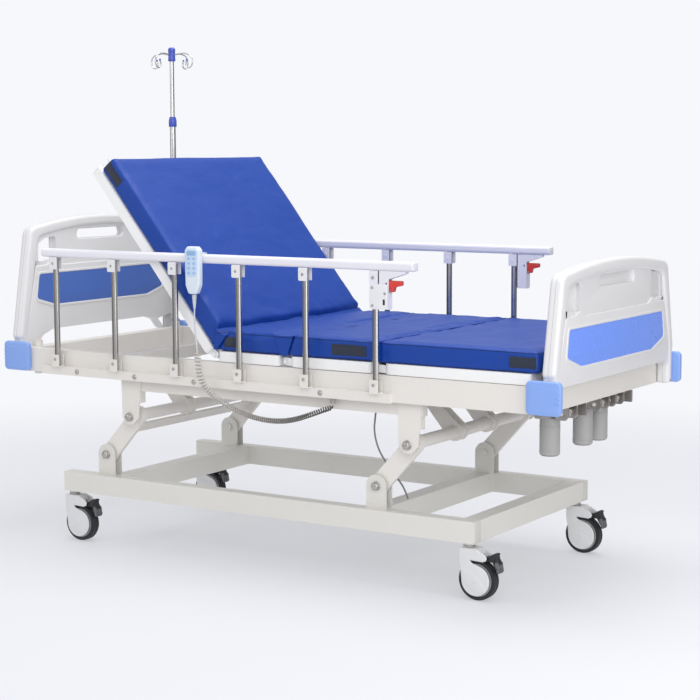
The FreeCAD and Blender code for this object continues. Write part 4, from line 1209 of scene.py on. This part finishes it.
class BED_OT_handset(bpy.types.Operator):
    """Build the hand control with its keypad, window, hook and strain relief"""

    bl_idname = "bed.handset"
    bl_label = "Handset"

    def execute(self, context):
        kit = context.scene.bed_accessories
        shell = moulded_abs("handset ABS", kit.handset, 0.28)
        film = moulded_abs("keypad film", linear("#C3DAF2"), 0.2, 0.8)
        keys = moulded_abs("key domes", linear("#9DBBE2"), 0.3)
        glass = moulded_abs("display window", linear("#8FB4E0"), 0.12)
        sheath = rubber("relief PVC", linear("#D3D9E0"), 0.5)
        parts = [coat(plate("case", [rounded(CASE, 14)], -494, -470, 6.5, "Y", 6), shell)]
        parts.append(coat(plate("keypad", [rounded(KEYPAD, 8)], -494.9, -492, 0.4), film))
        parts.append(coat(plate("window", [rounded(WINDOW, 3)], -495.5, -493, 0.3), glass))
        heads = [((x, -494.8, z), (0, -1, 0)) for z in (1003, 988, 973, 958) for x in (-219, -199)]
        parts.append(studded("keys", "key", heads, keys, Radius=0.0062))
        parts.append(coat(block("hook_bar", (-224, -471.5, 1016.6), (-194, -430.2, 1019.8), 1), shell))
        parts.append(coat(block("hook_lip", (-224, -433.3, 996.5), (-194, -430.2, 1019.5), 1), shell))
        relief = [(0, 842.5), (3.4, 842.5)]
        for k in range(8):
            z = 846 + k * 5.2
            relief += [(3.6 + k * 0.5, z), (4.6 + k * 0.5, z + 1), (4.6 + k * 0.5, z + 3.2), (3.7 + k * 0.5, z + 4)]
        relief.append((0, 889.6))
        parts.append(coat(turned("relief", relief, (-208, -482, 0), "Z", 24), sheath))
        settle(joined("hand_control", parts), "near_guard", "handset")
        return {"FINISHED"}


# ---------------------------------------------------------------- cords
LEAD = [
    (-0.208, -0.482, 0.842), (-0.210, -0.482, 0.815), (-0.208, -0.482, 0.780), (-0.203, -0.482, 0.740),
    (-0.200, -0.482, 0.706),
]
CURLY = [
    (-0.200, -0.482, 0.705), (-0.196, -0.483, 0.670), (-0.190, -0.483, 0.630), (-0.178, -0.478, 0.596),
    (-0.150, -0.466, 0.565), (-0.111, -0.456, 0.540), (-0.066, -0.452, 0.520), (-0.021, -0.450, 0.507),
    (0.030, -0.449, 0.499), (0.079, -0.448, 0.498), (0.120, -0.448, 0.502), (0.160, -0.447, 0.511),
    (0.200, -0.442, 0.525), (0.240, -0.430, 0.541), (0.266, -0.418, 0.550), (0.275, -0.414, 0.556),
]
POWER = [
    (0.365, -0.300, 0.603), (0.364, -0.300, 0.570), (0.358, -0.299, 0.520), (0.350, -0.297, 0.469),
    (0.362, -0.290, 0.410), (0.384, -0.272, 0.362), (0.402, -0.240, 0.315), (0.412, -0.210, 0.275),
    (0.414, -0.195, 0.243),
]


def run_length(points):
    return sum((b - a).length for a, b in zip(points, points[1:]))


def evenly(points, count):
    """The same line as a given number of points, equally far apart."""
    total, walked, result, k = run_length(points), 0.0, [points[0].copy()], 0
    for step in range(1, count - 1):
        target = total * step / (count - 1)
        while walked + (points[k + 1] - points[k]).length < target:
            walked += (points[k + 1] - points[k]).length
            k += 1
        result.append(points[k].lerp(points[k + 1], (target - walked) / (points[k + 1] - points[k]).length))
    return result + [points[-1].copy()]


class BED_OT_cords(bpy.types.Operator):
    """Lay the handset's lead and curly cord, and the lead down to the base"""

    bl_idname = "bed.cords"
    bl_label = "Cords"

    def execute(self, context):
        kit = context.scene.bed_accessories
        light = rubber("lead PVC", linear("#D5D9DE"), 0.45)
        curl = rubber("curly cord PU with painted shade", kit.lead, 0.42)
        tree = curl.node_tree
        base = tree.nodes["Principled BSDF"].inputs["Base Color"]
        along = add(tree, "ShaderNodeSeparateXYZ", {0: add(tree, "ShaderNodeTexCoord").outputs["Object"]}).outputs[0]
        drawn = add(tree, "ShaderNodeMapRange", {"Value": along, "From Min": -0.18, "From Max": 0.22}).outputs["Result"]
        # painted shade: the cord's colour darkens along X towards its lower end, where the coil hangs in shade
        painted_shade_inputs = {0: drawn, 6: base.links[0].from_socket, 7: shade(kit.lead, 0.16)}
        painted_shade = add(tree, "ShaderNodeMix", painted_shade_inputs, data_type="RGBA")
        tree.links.new(painted_shade.outputs[2], base)
        grey = rubber("power lead PVC", linear("#8A8B8C"), 0.5)
        line = evenly(followed("lead_route", LEAD), 30)
        lead = coat(sleeve("handset_straight_lead", line, 0.0025, 12), light)
        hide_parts("handset_lead")
        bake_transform(lead)
        spine = followed("curly_route", CURLY)
        total = run_length(spine)
        per_turn = 14
        steps = per_turn * round(total / kit.pitch)
        spine = evenly(spine, steps + 1)
        helix, angle = [], 0.0
        across = Vector((0, 1, 0))
        for k, centre in enumerate(spine):
            ahead = (spine[min(k + 1, steps)] - spine[max(k - 1, 0)]).normalized()
            across = (across - ahead * across.dot(ahead)).normalized()
            slack = max(0.0, min(1.0, 1.7 - total * k / steps / 0.12))
            angle += math.tau / per_turn * (1 - 0.35 * slack)
            reach = (0.0066 + 0.0032 * slack) * min(1, k / 20, (steps - k) / 20)
            helix.append(centre + (across * math.cos(angle) + ahead.cross(across) * math.sin(angle)) * reach)
        coil = coat(sleeve("handset_coiled_cord", helix, 0.0024, 8), curl)
        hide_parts("handset_curly_cord")
        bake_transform(coil)
        whole = evenly(followed("power_route", POWER), 61)
        for name, part, bodies in (
            ("power_lead_upper", whole[:31], ("foot_lift", "upper_frame")),
            ("power_lead_lower", whole[30:], ("base", "foot_lift")),
        ):
            piece = coat(sleeve(name, part, 0.0028, 12), grey)
            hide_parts("power_lead")
            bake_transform(piece)
        return {"FINISHED"}


# ---------------------------------------------------------------- stage
class BED_OT_stage(bpy.types.Operator):
    """Set the floor, the soft lights and the camera"""

    bl_idname = "bed.stage"
    bl_label = "Stage"

    def execute(self, context):
        kit = context.scene.bed_stage
        scene = context.scene
        scene.view_settings.view_transform = "Standard"
        mesh = bpy.data.meshes.new("floor")
        mesh.from_pydata([(-40, -40, 0), (40, -40, 0), (40, 40, 0), (-40, 40, 0)], [], [(0, 1, 2, 3)])
        floor = link(bpy.data.objects.new("floor", mesh))
        made, tree, shader, where = surface(
            "studio floor", kit.floor, 0.8, Emission_Color=linear("#F7F8FD"), Emission_Strength=kit.glow
        )
        mottled(tree, shader, where, shade(kit.floor, 0.4), 0.7, 0.78, 0.86, 0.99)
        far = add(tree, "ShaderNodeVectorMath", {0: where}, operation="LENGTH").outputs["Value"]
        fade = add(tree, "ShaderNodeMapRange", {"Value": far, "From Min": 1.6, "From Max": 4.0},
                   interpolation_type="SMOOTHSTEP")
        clear = add(tree, "ShaderNodeBsdfTransparent").outputs[0]
        blend = add(tree, "ShaderNodeMixShader", {0: fade.outputs["Result"], 1: shader.outputs[0], 2: clear})
        tree.links.new(blend.outputs[0], tree.nodes["Material Output"].inputs["Surface"])
        floor.data.materials.append(made)
        world = bpy.data.worlds.new("studio")
        scene.world = world
        world.use_nodes = True
        sky = world.node_tree.nodes["Background"]
        sky.inputs["Color"].default_value = linear("#F8F9FD")
        tree = world.node_tree
        way = add(tree, "ShaderNodeTexCoord").outputs["Generated"]
        turn = {0: way, 1: (0.842, 0.540, 0.0)}
        across = add(tree, "ShaderNodeVectorMath", turn, operation="DOT_PRODUCT").outputs["Value"]
        side = add(tree, "ShaderNodeMath", {0: across}, operation="ABSOLUTE").outputs[0]
        soft = add(tree, "ShaderNodeMapRange", {"Value": side, "From Min": 0.45, "From Max": 0.8,
                                                "To Min": kit.sky * 1.2, "To Max": kit.sky * 0.45}).outputs["Result"]
        ray = add(tree, "ShaderNodeLightPath").outputs["Is Camera Ray"]
        level = add(tree, "ShaderNodeMapRange", {"Value": ray, "To Min": soft, "To Max": 0.99})
        tree.links.new(level.outputs["Result"], sky.inputs["Strength"])
        for name, place, size, power in (
            ("key", (3.2, -4.4, 3.0), 3.0, 0.9), ("fill", (-3.4, -3.8, 2.2), 3.0, 0.4),
            ("top", (0.5, 0.4, 4.8), 3.4, 1.35), ("foot", (3.0, -1.0, 1.0), 1.4, 0.15),
        ):
            light = bpy.data.lights.new(name, "AREA")
            light.size = size
            light.energy = kit.lamp * power
            lamp = link(bpy.data.objects.new(name, light))
            lamp.location = place
            lamp.rotation_euler = (Vector(place) - Vector((0, 0, 0.6))).to_track_quat("Z", "Y").to_euler()
        camera = bpy.data.cameras.new("view")
        camera.lens = 91.8
        camera.sensor_width = 36
        seen = link(bpy.data.objects.new("view", camera))
        seen.location = (3.274, -4.995, 1.368)
        turn, rise = math.radians(32.66), math.radians(6.63)
        back = Vector((math.sin(turn) * math.cos(rise), -math.cos(turn) * math.cos(rise), math.sin(rise)))
        aim = (-back).to_track_quat("-Z", "Y").to_matrix() @ Matrix.Rotation(math.radians(-0.21), 3, "Z")
        seen.rotation_euler = aim.to_euler()
        scene.camera = seen
        return {"FINISHED"}


class BED_PT_panel(bpy.types.Panel):
    """Buttons that build the bed part by part"""

    bl_label = "Hospital bed"
    bl_space_type = "VIEW_3D"
    bl_region_type = "UI"
    bl_category = "Bed"

    def draw(self, context):
        for holder in GROUPS:
            box = self.layout.box()
            settings = getattr(context.scene, holder)
            for name in settings.bl_rna.properties.keys():
                if name not in ("rna_type", "name"):
                    box.prop(settings, name)
        for step in STEPS:
            self.layout.operator("bed." + step)


GROUPS = {
    "bed_stage": StageSettings, "bed_steel": SteelSettings, "bed_boards": BoardSettings,
    "bed_mattress": MattressSettings, "bed_guards": GuardSettings, "bed_castors": CastorSettings,
    "bed_accessories": AccessorySettings,
}
STEPS = ("stage", "cords", "steelwork", "end_boards", "mattress", "side_guards", "castors", "drives", "pole", "handset")
OPERATORS = (
    BED_OT_stage, BED_OT_cords, BED_OT_steelwork, BED_OT_end_boards, BED_OT_mattress, BED_OT_side_guards,
    BED_OT_castors, BED_OT_drives, BED_OT_pole, BED_OT_handset, BED_PT_panel,
)


def register():
    for group in GROUPS.values():
        bpy.utils.register_class(group)
    for operator in OPERATORS:
        bpy.utils.register_class(operator)
    for holder, group in GROUPS.items():
        setattr(bpy.types.Scene, holder, PointerProperty(type=group))


def unregister():
    for holder in GROUPS:
        delattr(bpy.types.Scene, holder)
    for cls in OPERATORS[::-1] + tuple(GROUPS.values())[::-1]:
        bpy.utils.unregister_class(cls)


def main():
    register()
    for step in STEPS:
        getattr(bpy.ops.bed, step)()


if __name__ == "__main__":
    main()
